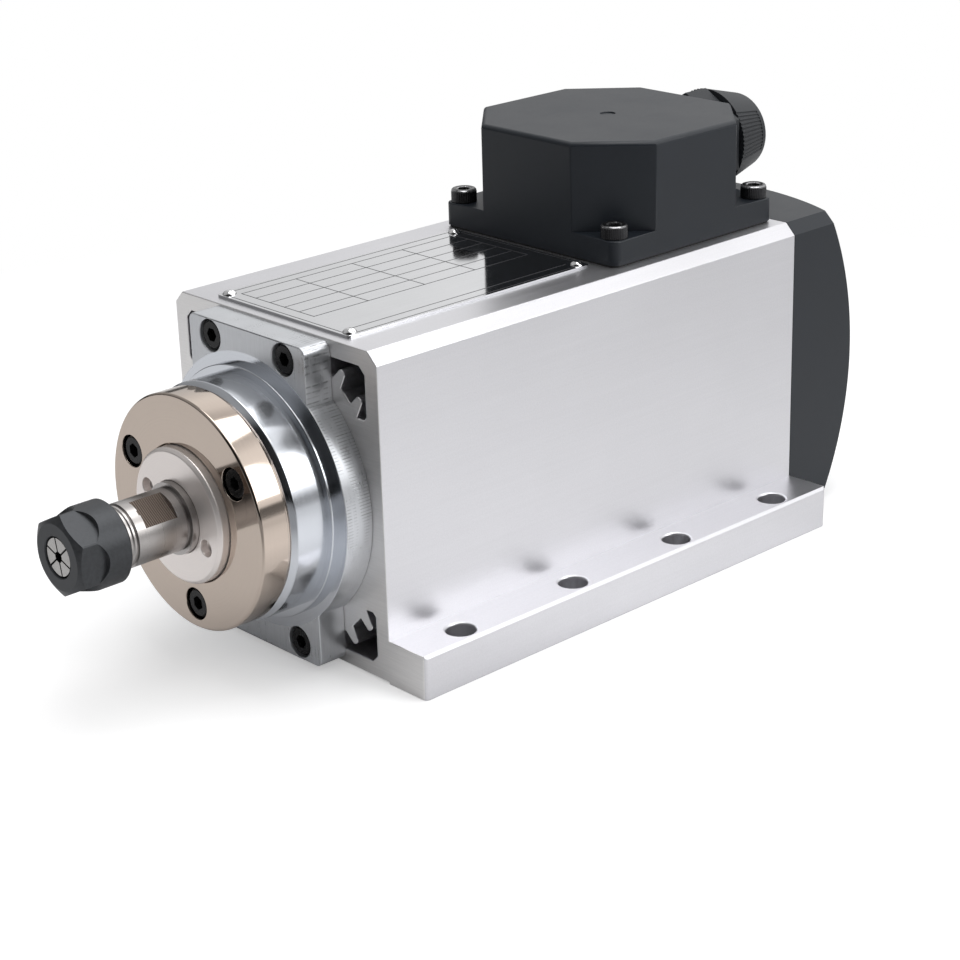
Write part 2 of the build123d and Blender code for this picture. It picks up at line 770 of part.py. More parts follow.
def rear_bearing_bracket():
    """Rear plate that carries the rear bearing in a hub, with lugs under the cover's four columns."""
    plate = Circle(bracket_radius) + RectangleRounded(lug_width, bracket_height, lug_round)
    body = extrude(Pos(0, 0, rear_station) * plate, -bracket_thickness)
    body = body + post(bore_radius - fit_gap, rear_station, rear_station + bracket_spigot)
    body = body + post(rear_bearing_outer + bracket_hub_wall, rear_station, rear_bearing_front)
    pocket_bottom = rear_bearing_rear - spring_thickness
    body = body - post(rear_bearing_outer + fit_gap, pocket_bottom, rear_bearing_front)
    body = body - post(rear_bearing_bore + bracket_throat_gap, bracket_rear_station, pocket_bottom)
    hole = post(screw_radius + screw_clearance, bracket_rear_station, rear_station + bracket_spigot)
    return body - at_points(hole, end_screws)


def wave_spring():
    """Preload washer between the rear bearing's outer ring and its pocket."""
    inner = rear_bearing_outer - spring_width
    return ring(inner, rear_bearing_outer - fit_gap, rear_bearing_rear - spring_thickness, rear_bearing_rear)


def shaft_circlip():
    """Open ring in the shaft's groove, against the rear bearing's inner ring."""
    inner = rear_bearing_bore - circlip_groove + fit_gap
    outer = rear_bearing_bore + circlip_proud
    body = ring(inner, outer, rear_bearing_rear - circlip_thickness, rear_bearing_rear)
    toward_x = (Align.MIN, Align.CENTER, Align.CENTER)
    opening = Box(2 * outer, circlip_opening, 2 * circlip_thickness, align=toward_x)
    return body - Pos(0, 0, rear_bearing_rear) * opening


def cooling_fan():
    """Centrifugal fan: a plate on a hub, with swept blades that stand on its rear side."""
    plate_rear = fan_front_station - fan_plate_thickness
    body = post(fan_radius, plate_rear, fan_front_station)
    body = body + post(fan_hub_radius, fan_hub_rear, fan_front_station)
    half = fan_blade_thickness / 2
    arc = Circle(fan_blade_curve + half) - Circle(fan_blade_curve - half)
    quarter = Rectangle(2 * fan_blade_curve, 2 * fan_blade_curve, align=(Align.MIN, Align.MAX))
    blade = Pos(fan_hub_radius - fan_blade_root, fan_blade_curve) * (arc & quarter)
    blade = blade & (Circle(fan_radius) - Circle(fan_hub_radius - fan_blade_root))
    blade = extrude(Pos(0, 0, plate_rear) * blade, -fan_blade_height)
    body = body + polar(blade, fan_blade_count)
    return body - post(fan_seat_radius + fit_gap, fan_hub_rear, fan_front_station)


def fan_washer():
    """Washer under the fan's nut."""
    return ring(fan_thread_radius + fit_gap, fan_washer_radius, fan_washer_rear, fan_hub_rear)


def fan_nut():
    """Hexagon nut on the shaft's rear end."""
    body = hexagon(fan_nut_across_flats, fan_nut_rear, fan_washer_rear)
    return body - post(fan_thread_radius + fit_gap, fan_nut_rear, fan_washer_rear)


def cover_section(inset):
    """Outline of the rear cover in the spindle frame, drawn in by an inset."""
    outline = Rectangle(body_width - 2 * inset, body_height - 2 * inset)
    outline = chamfer(outline.vertices(), body_chamfer)
    return Pos(0, body_height / 2 - axis_height) * outline


def dome(inset):
    """Solid of the rear cover's form: the square section with a spherical end, drawn in by an inset."""
    prism = extrude(Pos(0, 0, rear_station) * cover_section(inset), -dome_height)
    ball = Pos(0, 0, rear_station - dome_height + dome_radius) * Sphere(dome_radius - inset)
    return prism & ball


def grille_cutter():
    """The slots of the air inlet: rings about the axis, parted by spokes."""
    pitch = grille_slot + grille_rib
    slots = Sketch()
    for index in range(grille_ring_count):
        inner = grille_first_radius + index * pitch
        slots = slots + (Circle(inner + grille_slot) - Circle(inner))
    spoke = Rectangle(body_width, grille_spoke_width, align=(Align.MIN, Align.CENTER))
    slots = slots - polar(spoke, grille_spoke_count, grille_spoke_turn)
    return extrude(Pos(0, 0, fan_hub_rear) * slots, rear_station - dome_height - fan_hub_rear)


def rear_cover():
    """Moulded fan cover: a domed shell with an inlet grille and four screw columns."""
    form = dome(0)
    column = post(column_radius, rear_station - dome_height, bracket_rear_station)
    columns = [form & part for part in at_points(column, end_screws)]
    hole = Pos(0, 0, column_seat_station) * Rot(180, 0, 0) * screw_hole(column_seat, dome_height)
    body = form - dome(cover_wall) + columns
    return body - at_points(hole, end_screws) - grille_cutter()


def box_octagon(inset):
    """Plan of the terminal box above its base, drawn in by an inset."""
    outline = Rectangle(box_width, box_length)
    outline = chamfer(outline.vertices(), box_corner_cut)
    if inset:
        outline = offset(outline, -inset, kind=Kind.INTERSECTION)
    return Pos(0, box_centre) * outline


def box_base(inset):
    """Plan of the terminal box's base with its four rounded lugs, drawn in by an inset."""
    plan = RectangleRounded(box_width - 2 * inset, box_length - 2 * inset, box_base_round - inset)
    return Pos(0, box_centre) * plan


def terminal_box():
    """Moulded terminal box: an eight-sided shell that opens downwards, with screw lugs at its foot."""
    upper = extrude(Pos(0, 0, box_floor) * box_octagon(0), box_height)
    upper = fillet(upper.edges().group_by(Axis.Z)[-1], box_top_round)
    body = upper + extrude(Pos(0, 0, box_floor) * box_base(0), box_base_height)
    body = body - extrude(Pos(0, 0, box_floor) * box_octagon(box_wall), box_height - box_wall)
    hole = post(screw_radius + screw_clearance, box_floor, box_lug_top)
    body = body - at_points(hole, box_screws)
    top = box_floor + box_height
    body = body - Pos(0, box_centre) * post(gate_mark_radius, top - gate_mark_depth, top)
    return body - gland_frame * post(gland_thread_radius + gland_hole_clearance, -box_wall, 0)


def terminal_box_gasket():
    """Flat seal between the terminal box and the housing."""
    plan = box_base(gasket_inset) - box_octagon(box_wall)
    plan = plan - at_points(Circle(screw_radius + screw_clearance), box_screws)
    return extrude(Pos(0, 0, body_height) * plan, gasket_thickness)


def terminal_block():
    """Insulating block with a barrier on each side of each pole, and a threaded hole under each screw."""
    width = terminal_count * terminal_pitch + terminal_barrier
    on_floor = (Align.CENTER, Align.CENTER, Align.MIN)
    body = Box(width, terminal_length, terminal_base_height, align=on_floor)
    body = Pos(0, terminal_centre, body_height) * body
    barrier = Box(terminal_barrier, terminal_length, terminal_height, align=on_floor)
    for index in range(terminal_count + 1):
        x = (index - terminal_count / 2) * terminal_pitch
        body = body + Pos(x, terminal_centre, body_height) * barrier
    hole = post(terminal_thread_radius + fit_gap, terminal_top - terminal_screw_depth, terminal_top)
    return body - at_points(hole, terminal_points)


def terminal_screws():
    """Slotted screws of the terminal block, one at each end of each pole."""
    head = post(terminal_screw_radius, terminal_top, terminal_top + terminal_screw_height)
    slot = Box(2 * terminal_screw_radius, terminal_barrier / 2, terminal_screw_height)
    head = head - Pos(0, 0, terminal_top + terminal_screw_height) * slot
    screw = head + post(terminal_thread_radius, terminal_top - terminal_screw_depth, terminal_top)
    return at_points(screw, terminal_points)


def motor_leads():
    """Insulated leads that rise from the end turns through the housing and bend into the terminal block."""
    bottom = axis_height + winding_outer_radius + lead_end_gap
    top = body_height + lead_height
    leads = []
    for x in terminal_places:
        route = FilletPolyline(
            (x, lead_hole_centre, bottom), (x, lead_hole_centre, top),
            (x, terminal_centre - terminal_length / 2, top), radius=lead_bend,
        )
        leads.append(sweep(Plane(route @ 0, z_dir=route % 0) * Circle(lead_radius), path=route))
    return leads


def gland_body():
    """Cable gland's body: stem through the box wall, hexagon flange and the neck that carries the cap."""
    stem_end = -box_wall - gland_nut_thickness - gland_thread_proud
    body = hexagon(gland_across_flats, 0, gland_hex_thickness, gland_hex_turn)
    body = chamfer(body.edges().group_by(Axis.Z)[-1], gland_edge)
    body = body + post(gland_thread_radius, stem_end, 0)
    body = body + post(gland_neck_radius, gland_hex_thickness, gland_neck_end)
    return body - post(gland_bore_radius, stem_end, gland_neck_end)


def gland_locknut():
    """Hexagon locknut inside the box."""
    body = hexagon(gland_nut_across_flats, -box_wall - gland_nut_thickness, -box_wall)
    return body - post(gland_thread_radius + fit_gap, -box_wall - gland_nut_thickness, -box_wall)


def gland_seal():
    """Rubber bush in the gland's neck, with the flange that the cap presses on."""
    sleeve_start = gland_neck_end - gland_seal_length
    sleeve = ring(gland_seal_bore, gland_bore_radius - fit_gap, sleeve_start, gland_neck_end)
    flange_end = gland_neck_end + gland_seal_flange
    return sleeve + ring(gland_seal_bore, gland_seal_flange_radius, gland_neck_end, flange_end)


def gland_cap():
    """Tapered gland cap with fluted grips, a smooth round rim and the mouth for the cable."""
    start = gland_hex_thickness
    body = turned(
        (0, start), (gland_cap_radius, start), (gland_cap_end_radius, gland_cap_end), (0, gland_cap_end)
    )
    body = fillet(body.edges().group_by(Axis.Z)[-1], gland_cap_round)
    lean = degrees(atan2(gland_cap_radius - gland_cap_end_radius, gland_cap_length))
    flute = Rot(0, -lean, 0) * post(gland_flute_radius, 0, gland_cap_length - 1.5 * gland_cap_round)
    flute = Pos(gland_cap_radius + gland_flute_radius - gland_flute_depth, 0, start) * flute
    for grip in range(gland_grip_count):
        turn = gland_grip_turn + 360 * grip / gland_grip_count
        for index in range(gland_flute_count):
            place = turn + (index - (gland_flute_count - 1) / 2) * gland_flute_pitch
            body = body - Rot(0, 0, place) * flute
    body = body - post(gland_neck_radius + fit_gap, start, gland_neck_end + gland_seal_flange)
    return body - post(gland_cap_mouth, start, gland_cap_end)


def nameplate():
    """Thin blank plate on the housing's top."""
    plan = RectangleRounded(nameplate_width, nameplate_length, nameplate_round)
    plan = Pos(0, nameplate_front + nameplate_length / 2) * plan
    plan = plan - at_points(Circle(rivet_shank_radius + fit_gap), rivets)
    return extrude(Pos(0, 0, body_height) * plan, nameplate_thickness)


def nameplate_rivet():
    """Round-headed rivet that seats on the nameplate."""
    seat = body_height + nameplate_thickness
    cap_radius = (rivet_head_radius**2 + rivet_head_height**2) / (2 * rivet_head_height)
    head = Pos(0, 0, seat + rivet_head_height - cap_radius) * Sphere(cap_radius)
    head = head & post(rivet_head_radius, seat, seat + rivet_head_height)
    return head + post(rivet_shank_radius, body_height - rivet_shank_length, seat)


def save(node, *shapes):
    """Write one node: a single solid, or a group of separate ones."""
    export_step(shapes[0] if len(shapes) == 1 else Compound(children=list(shapes)), f"parts/{node}.step")


def save_housing():
    """Write the housing, the front bearing housing and what stands still in the nose."""
    save("motor_housing", motor_housing())
    save("front_bearing_housing", spindle_frame * front_bearing_housing())
    front_screw = Pos(0, 0, front_seat_station) * cap_screw(front_screw_length)
    save("front_housing_screws", *placed(spindle_frame, at_points(front_screw, end_screws)))
    save("front_cover_ring", spindle_frame * front_cover_ring())
    ring_screw = Pos(cover_screw_circle, 0, cover_seat_station) * cap_screw(cover_screw_length)
    save("front_cover_screws", *placed(spindle_frame, polar(ring_screw, cover_screw_count, cover_screw_turn)))
    save("stator_core", spindle_frame * stator_core())
    save("stator_windings", spindle_frame * stator_windings())
    save("nameplate", nameplate())
    save("nameplate_rivets", *at_points(nameplate_rivet(), rivets))


def save_bearings():
    """Write the front bearing pair and the rear bearing, ring by ring."""
    outer_rings, inner_rings, ball_sets = front_bearings()
    save("front_bearing_outer_rings", *placed(spindle_frame, outer_rings))
    save("front_bearing_inner_rings", *placed(rotor_frame, inner_rings))
    save("front_bearing_balls", *placed(rotor_frame, ball_sets))
    outer_ring, inner_ring, balls = bearing(
        rear_bearing_bore + fit_gap, rear_bearing_outer, rear_bearing_front, rear_bearing_width,
        rear_ball_radius, rear_ball_count,
    )
    save("rear_bearing_outer_ring", spindle_frame * outer_ring)
    save("rear_bearing_inner_ring", rotor_frame * inner_ring)
    save("rear_bearing_balls", rotor_frame * balls)


def save_rotor():
    """Write everything that turns, apart from the bearings."""
    save("dust_cap", rotor_frame * dust_cap())
    save("spindle_shaft", rotor_frame * spindle_shaft())
    save("collet", rotor_frame * collet())
    save("collet_nut", rotor_frame * collet_nut())
    save("rotor_core", rotor_frame * rotor_core())
    save("rotor_cage", rotor_frame * rotor_cage())
    save("shaft_circlip", rotor_frame * shaft_circlip())
    save("cooling_fan", rotor_frame * cooling_fan())
    save("fan_washer", rotor_frame * fan_washer())
    save("fan_nut", rotor_frame * fan_nut())


def save_rear():
    """Write the rear bracket and the fan cover."""
    save("rear_bearing_bracket", spindle_frame * rear_bearing_bracket())
    save("wave_spring", spindle_frame * wave_spring())
    save("rear_cover", spindle_frame * rear_cover())
    cover_screw = Pos(0, 0, column_seat_station) * Rot(180, 0, 0) * cap_screw(rear_screw_length)
    save("rear_cover_screws", *placed(spindle_frame, at_points(cover_screw, end_screws)))


def save_terminal_box():
    """Write the terminal box, what it holds and the cable gland."""
    save("terminal_box", terminal_box())
    save("terminal_box_gasket", terminal_box_gasket())
    box_screw = cap_screw(box_screw_length, box_screw_head_radius, box_screw_head_height)
    box_screw = Pos(0, 0, box_lug_top) * box_screw
    save("terminal_box_screws", *at_points(box_screw, box_screws))
    save("terminal_block", terminal_block())
    save("terminal_screws", *terminal_screws())
    save("motor_leads", *motor_leads())
    save("gland_body", gland_frame * gland_body())
    save("gland_locknut", gland_frame * gland_locknut())
    save("gland_seal", gland_frame * gland_seal())
    save("gland_cap", gland_frame * gland_cap())


os.makedirs("parts", exist_ok=True)
save_housing()
save_bearings()
save_rotor()
save_rear()
save_terminal_box()
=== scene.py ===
import logging
import math
from dataclasses import dataclass
from enum import Enum
from functools import partial, reduce
from typing import Callable, Sequence

import bmesh
import bpy
from mathutils import Matrix, Vector


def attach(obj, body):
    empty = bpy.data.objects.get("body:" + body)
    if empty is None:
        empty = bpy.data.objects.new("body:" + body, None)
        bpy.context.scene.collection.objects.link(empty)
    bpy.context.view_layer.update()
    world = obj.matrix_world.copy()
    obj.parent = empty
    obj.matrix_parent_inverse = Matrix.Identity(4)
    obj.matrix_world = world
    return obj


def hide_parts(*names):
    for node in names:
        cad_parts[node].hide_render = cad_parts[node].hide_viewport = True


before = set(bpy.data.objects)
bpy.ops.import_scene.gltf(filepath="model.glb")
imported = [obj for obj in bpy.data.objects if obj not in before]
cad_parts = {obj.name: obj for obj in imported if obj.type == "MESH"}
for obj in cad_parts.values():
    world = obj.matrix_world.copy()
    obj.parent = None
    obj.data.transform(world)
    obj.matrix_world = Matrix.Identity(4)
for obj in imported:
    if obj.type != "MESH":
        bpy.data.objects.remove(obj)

# Looks of an air-cooled motor spindle. Sizes are millimetres unless a name says otherwise; the axes are the
# part's own: X across, +Y from the nose to the fan, +Z up, and the feet stand on Z = 0.

MM = 0.001
FRONT_FACE = -70.5
AXIS_HEIGHT = 40.3
BODY_TOP = 79.5
HOUSING = "housing"
SAME = 0.1
ON_AXIS = 0.001
FACING = 0.6
MERGE_METRES = 1e-6
FACET_ANGLE = math.radians(0.2)
EDGE_ANGLE = math.radians(25.0)
MIX_FIRST, MIX_SECOND, MIX_RESULT = 6, 7, 2
LOG = logging.getLogger("spindle")

Colour = tuple[float, float, float]
Point = tuple[float, float, float]
Pair = tuple[float, float]
Socket = bpy.types.NodeSocket
Value = Socket | float
EdgeTest = Callable[[Vector, Vector], bool]


class Grain(Enum):
    """How the fine marks of a metal surface run."""

    TURNED = "turned"
    ALONG_Y = "along_y"
    EVEN = "even"


def shade(colour: Colour, factor: float) -> Colour:
    """A colour made lighter or darker."""
    return tuple(min(1.0, part * factor) for part in colour)


# Node graphs


class Nodes:
    """A node tree, with a method for each kind of node that the finishes and the studio use."""

    def __init__(self, tree: bpy.types.NodeTree) -> None:
        """Takes the tree that the nodes are added to."""
        self.tree = tree

    def feed(self, target: Socket, value: Value | Sequence[float]) -> None:
        """Joins an input to a socket, or sets it to a fixed value.

        Args:
            target: The input.
            value: A socket, a number or a row of numbers.
        """
        if isinstance(value, Socket):
            self.tree.links.new(value, target)
        else:
            target.default_value = value

    def wire(self, kind: str, inputs: dict[str | int, object] | None = None, output: str | int = 0,
             **settings: object) -> Socket:
        """Adds a node and feeds it.

        Args:
            kind: The node's type without its ShaderNode prefix.
            inputs: Values, by the name or number of their input.
            output: Name or number of the output that is wanted.
            settings: Properties of the node.

        Returns:
            That output's socket.
        """
        made = self.tree.nodes.new("ShaderNode" + kind)
        for key, value in settings.items():
            setattr(made, key, value)
        for key, value in (inputs or {}).items():
            self.feed(made.inputs[key], value)
        return made.outputs[output]

    def math(self, operation: str, first: Value, second: Value = 0.0) -> Socket:
        """The result of a math node's operation on two values."""
        return self.wire("Math", {0: first, 1: second}, operation=operation)

    def product(self, *values: Value) -> Socket:
        """Values multiplied: for masks, 1 only where each of them is 1."""
        return reduce(partial(self.math, "MULTIPLY"), values)

    def weigh(self, *parts: tuple[Socket, float]) -> Socket:
        """The sum of sockets that each have a weight."""
        return reduce(partial(self.math, "ADD"), [self.product(*part) for part in parts])

    def inverse(self, mask: Socket) -> Socket:
        """1 where a mask is 0, and 0 where it is 1."""
        return self.math("SUBTRACT", 1.0, mask)

    def between(self, value: Socket, low: float, high: float) -> Socket:
        """1 where a value lies between two limits, and 0 elsewhere."""
        return self.product(self.math("GREATER_THAN", value, low), self.math("LESS_THAN", value, high))

    def pick(self, mask: Socket, first: Value, second: Value) -> Socket:
        """The first value where a mask is 0, and the second where it is 1."""
        return self.math("ADD", self.product(first, self.inverse(mask)), self.product(second, mask))

    def span(self, value: Socket, low: float, high: float, to_low: float = 0.0, to_high: float = 1.0) -> Socket:
        """A value mapped from one range to another, and held at its ends."""
        inputs = {"Value": value, "From Min": low, "From Max": high, "To Min": to_low, "To Max": to_high}
        return self.wire("MapRange", inputs, "Result", clamp=True)

    def vary(self, value: Socket, number: float, low: float, high: float, ends: Pair = (0.3, 0.7)) -> Socket:
        """A number times low at the start of a value's range, up to the number times high at its end."""
        return self.span(value, *ends, number * low, number * high)

    def ramp(self, value: Socket, stops: Sequence[tuple[float, Colour]]) -> Socket:
        """A colour that follows a value.

        Args:
            value: The value, 0 to 1.
            stops: Places from 0 to 1, each with its colour.

        Returns:
            The colour socket.
        """
        made = self.wire("ValToRGB", {"Fac": value}, "Color")
        elements = made.node.color_ramp.elements
        while len(elements) < len(stops):
            elements.new(0.5)
        for element, (place, colour) in zip(elements, stops):
            element.position = place
            element.color = (*colour, 1.0)
        return made

    def greys(self, value: Socket, stops: Sequence[Pair]) -> Socket:
        """A grey that follows a value, by places from 0 to 1 that each have their grey."""
        return self.ramp(value, [(place, (grey, grey, grey)) for place, grey in stops])

    def tint(self, value: Socket, colour: Colour, low: float, high: float, ends: Pair = (0.3, 0.7)) -> Socket:
        """A colour shaded by low at the start of a value's range, up to high at its end."""
        return self.ramp(value, [(ends[0], shade(colour, low)), (ends[1], shade(colour, high))])

    def dot(self, vector: Socket, direction: Point) -> Socket:
        """How far a vector goes along a direction."""
        return self.wire("VectorMath", {0: vector, 1: direction}, "Value", operation="DOT_PRODUCT")

    def scaled(self, vector: Socket, factor: Socket) -> Socket:
        """A vector or colour times a value."""
        return self.wire("VectorMath", {0: vector, "Scale": factor}, operation="SCALE")

    def split(self, vector: Socket) -> tuple[Socket, Socket, Socket]:
        """The X, Y and Z of a vector."""
        return tuple(self.wire("SeparateXYZ", {0: vector}).node.outputs)

    def mixed_shaders(self, share: Socket, first: Socket, second: Socket) -> Socket:
        """One shader where a share is 0, and another where it is 1."""
        return self.wire("MixShader", {0: share, 1: first, 2: second})


class Graph(Nodes):
    """A material's node tree, with the patterns that the finishes share."""

    def __init__(self, name: str) -> None:
        """Starts a material.

        Args:
            name: The material's name.
        """
        self.material = bpy.data.materials.new(name)
        self.material.use_nodes = True
        super().__init__(self.material.node_tree)
        self.shader = self.tree.nodes["Principled BSDF"]
        self._places: dict[tuple[Point, Point], Socket] = {}

    def feed_shader(self, **inputs: Value) -> None:
        """Joins or sets shader inputs, each named in lower case with underscores for spaces."""
        for key, value in inputs.items():
            self.feed(self.shader.inputs[key.replace("_", " ").title().replace("Ior", "IOR")], value)

    def place(self, scale: Point = (1.0, 1.0, 1.0), shift: Point = (0.0, 0.0, 0.0)) -> Socket:
        """The point on the piece, in scaled millimetres.

        Args:
            scale: Factor along each axis.
            shift: Added after scaling.

        Returns:
            A vector socket.
        """
        key = (scale, shift)
        if key not in self._places:
            inputs = {"Scale": [factor / MM for factor in scale], "Location": shift,
                      "Vector": self.wire("TexCoord", output="Object")}
            self._places[key] = self.wire("Mapping", inputs)
        return self._places[key]

    def normal(self) -> Socket:
        """The direction that the surface faces."""
        return self.wire("TexCoord", output="Normal")

    def noise(self, vector: Socket, scale: float, detail: float = 2.0, roughness: float = 0.55) -> Socket:
        """Smooth random values round 0.5: their waves per unit, and how many finer layers weigh how much."""
        inputs = {"Vector": vector, "Scale": scale, "Detail": detail, "Roughness": roughness}
        return self.wire("TexNoise", inputs, "Fac")

    def blend(self, mask: Socket, first: Socket, second: Socket) -> Socket:
        """One colour where a mask is 0, and another where it is 1."""
        inputs = {"Factor": mask, MIX_FIRST: first, MIX_SECOND: second}
        return self.wire("Mix", inputs, MIX_RESULT, data_type="RGBA")

    def bump(self, height: Socket, distance: float) -> None:
        """Adds relief to the shader's normal.

        Args:
            height: Height, 0 to 1.
            distance: Height of 1 in millimetres.
        """
        inputs = {"Distance": distance * MM, "Strength": 1.0, "Height": height}
        old = self.shader.inputs["Normal"]
        if old.links:
            inputs["Normal"] = old.links[0].from_socket
        self.feed_shader(normal=self.wire("Bump", inputs, "Normal"))

    def join(self, *parts: Socket) -> Socket:
        """A vector of up to three parts, its X, Y and Z as far as they are given."""
        return self.wire("CombineXYZ", dict(enumerate(parts)))

    def round_axis(self) -> tuple[Socket, Socket, Socket]:
        """The place of the point about the spindle axis.

        Returns:
            Its radius, its station along Y and its angle.
        """
        x, y, z = self.split(self.place(shift=(0.0, 0.0, -AXIS_HEIGHT)))
        square = self.math("ADD", self.product(x, x), self.product(z, z))
        return self.math("SQRT", square), y, self.math("ARCTAN2", z, x)

    def facing_y(self) -> Socket:
        """1 on faces square to the Y axis, and 0 elsewhere."""
        _, y, _ = self.split(self.normal())
        return self.math("GREATER_THAN", self.math("ABSOLUTE", y), FACING)

    def rings(self, scale: float) -> Socket:
        """The marks that a lathe leaves: rings on end faces, and rings along round sides."""
        radius, station, _ = self.round_axis()
        return self.noise(self.join(self.pick(self.facing_y(), station, radius)), scale, detail=4.0, roughness=0.7)

    def tangent(self) -> None:
        """Stretches reflections across the marks that a lathe leaves round the Y axis."""
        self.feed_shader(tangent=self.wire("Tangent", direction_type="RADIAL", axis="Y"))


# Finishes


@dataclass(frozen=True)
class Finish:
    """What every finish has."""

    name: str
    colour: Colour
    roughness: float

    def material(self) -> bpy.types.Material:
        """Builds the finish as a material.

        Returns:
            The material.
        """
        graph = Graph(self.name)
        self.paint(graph)
        return graph.material

    def paint(self, graph: Graph) -> None:
        """Fills the material's graph; each kind of finish has its own way."""
        raise NotImplementedError


@dataclass(frozen=True)
class Metal(Finish):
    """A bare metal surface with the fine marks of its last cut."""

    grain: Grain = Grain.EVEN
    spread: float = 0.04
    mark_scale: float = 3.0
    mark_depth: float = 0.004
    anisotropy: float = 0.0
    metallic: float = 1.0
    blotch: float = 0.02

    def marks(self, graph: Graph) -> Socket:
        """The random values that run along the cut.

        Args:
            graph: The material's graph.

        Returns:
            A value socket.
        """
        if self.grain is Grain.TURNED:
            return graph.rings(self.mark_scale)
        stretch = 0.015 if self.grain is Grain.ALONG_Y else 1.0
        return graph.noise(graph.place((1.0, stretch, 1.0)), self.mark_scale, detail=4.0, roughness=0.7)

    def paint(self, graph: Graph) -> None:
        """Lets colour, gloss and relief follow the marks.

        Args:
            graph: The material's graph.
        """
        marks = self.marks(graph)
        mixed = graph.weigh((marks, 0.7), (graph.noise(graph.place(), 0.12, detail=3.0), 0.3))
        spread = self.spread + self.blotch
        graph.feed_shader(
            metallic=self.metallic, anisotropic=self.anisotropy,
            base_color=graph.tint(mixed, self.colour, 1 - spread, 1 + spread, (0.32, 0.68)),
            roughness=graph.vary(mixed, self.roughness, 0.85, 1.2),
        )
        graph.bump(marks, self.mark_depth)
        if self.anisotropy:
            graph.tangent()


@dataclass(frozen=True)
class Anodised(Finish):
    """Satin anodised extrusion, with sawn ends and a fine speckle."""

    sawn_colour: Colour = (0.88, 0.87, 0.865)
    sawn_roughness: float = 0.4
    sawn_depth: float = 0.12

    def paint(self, graph: Graph) -> None:
        """The anodised skin, and the sawn faces at both ends.

        Args:
            graph: The material's graph.
        """
        fine = graph.noise(graph.place(), 2.6, detail=3.0, roughness=0.65)
        lines = graph.noise(graph.place((0.9, 0.012, 0.9)), 1.6, detail=3.0)
        clouds = graph.noise(graph.place(), 0.035)
        tone = graph.weigh((fine, 0.55), (lines, 0.2), (clouds, 0.25))
        saw = graph.noise(graph.place((0.05, 1.0, 1.4)), 1.8, detail=4.0, roughness=0.7)
        _, along, _ = graph.split(graph.place())
        ends = graph.math("GREATER_THAN", graph.math("ABSOLUTE", along), -FRONT_FACE - self.sawn_depth)
        skin = graph.tint(tone, self.colour, 0.955, 1.045, (0.35, 0.65))
        skin_gloss = graph.vary(tone, self.roughness, 0.92, 1.12, (0.35, 0.65))
        graph.feed_shader(
            metallic=1.0,
            base_color=graph.blend(ends, skin, graph.tint(saw, self.sawn_colour, 0.95, 1.05)),
            roughness=graph.pick(ends, skin_gloss, graph.vary(saw, self.sawn_roughness, 0.8, 1.2)),
        )
        graph.bump(graph.math("ADD", fine, graph.product(lines, 0.6)), 0.006)
        graph.bump(graph.product(saw, ends), 0.008)


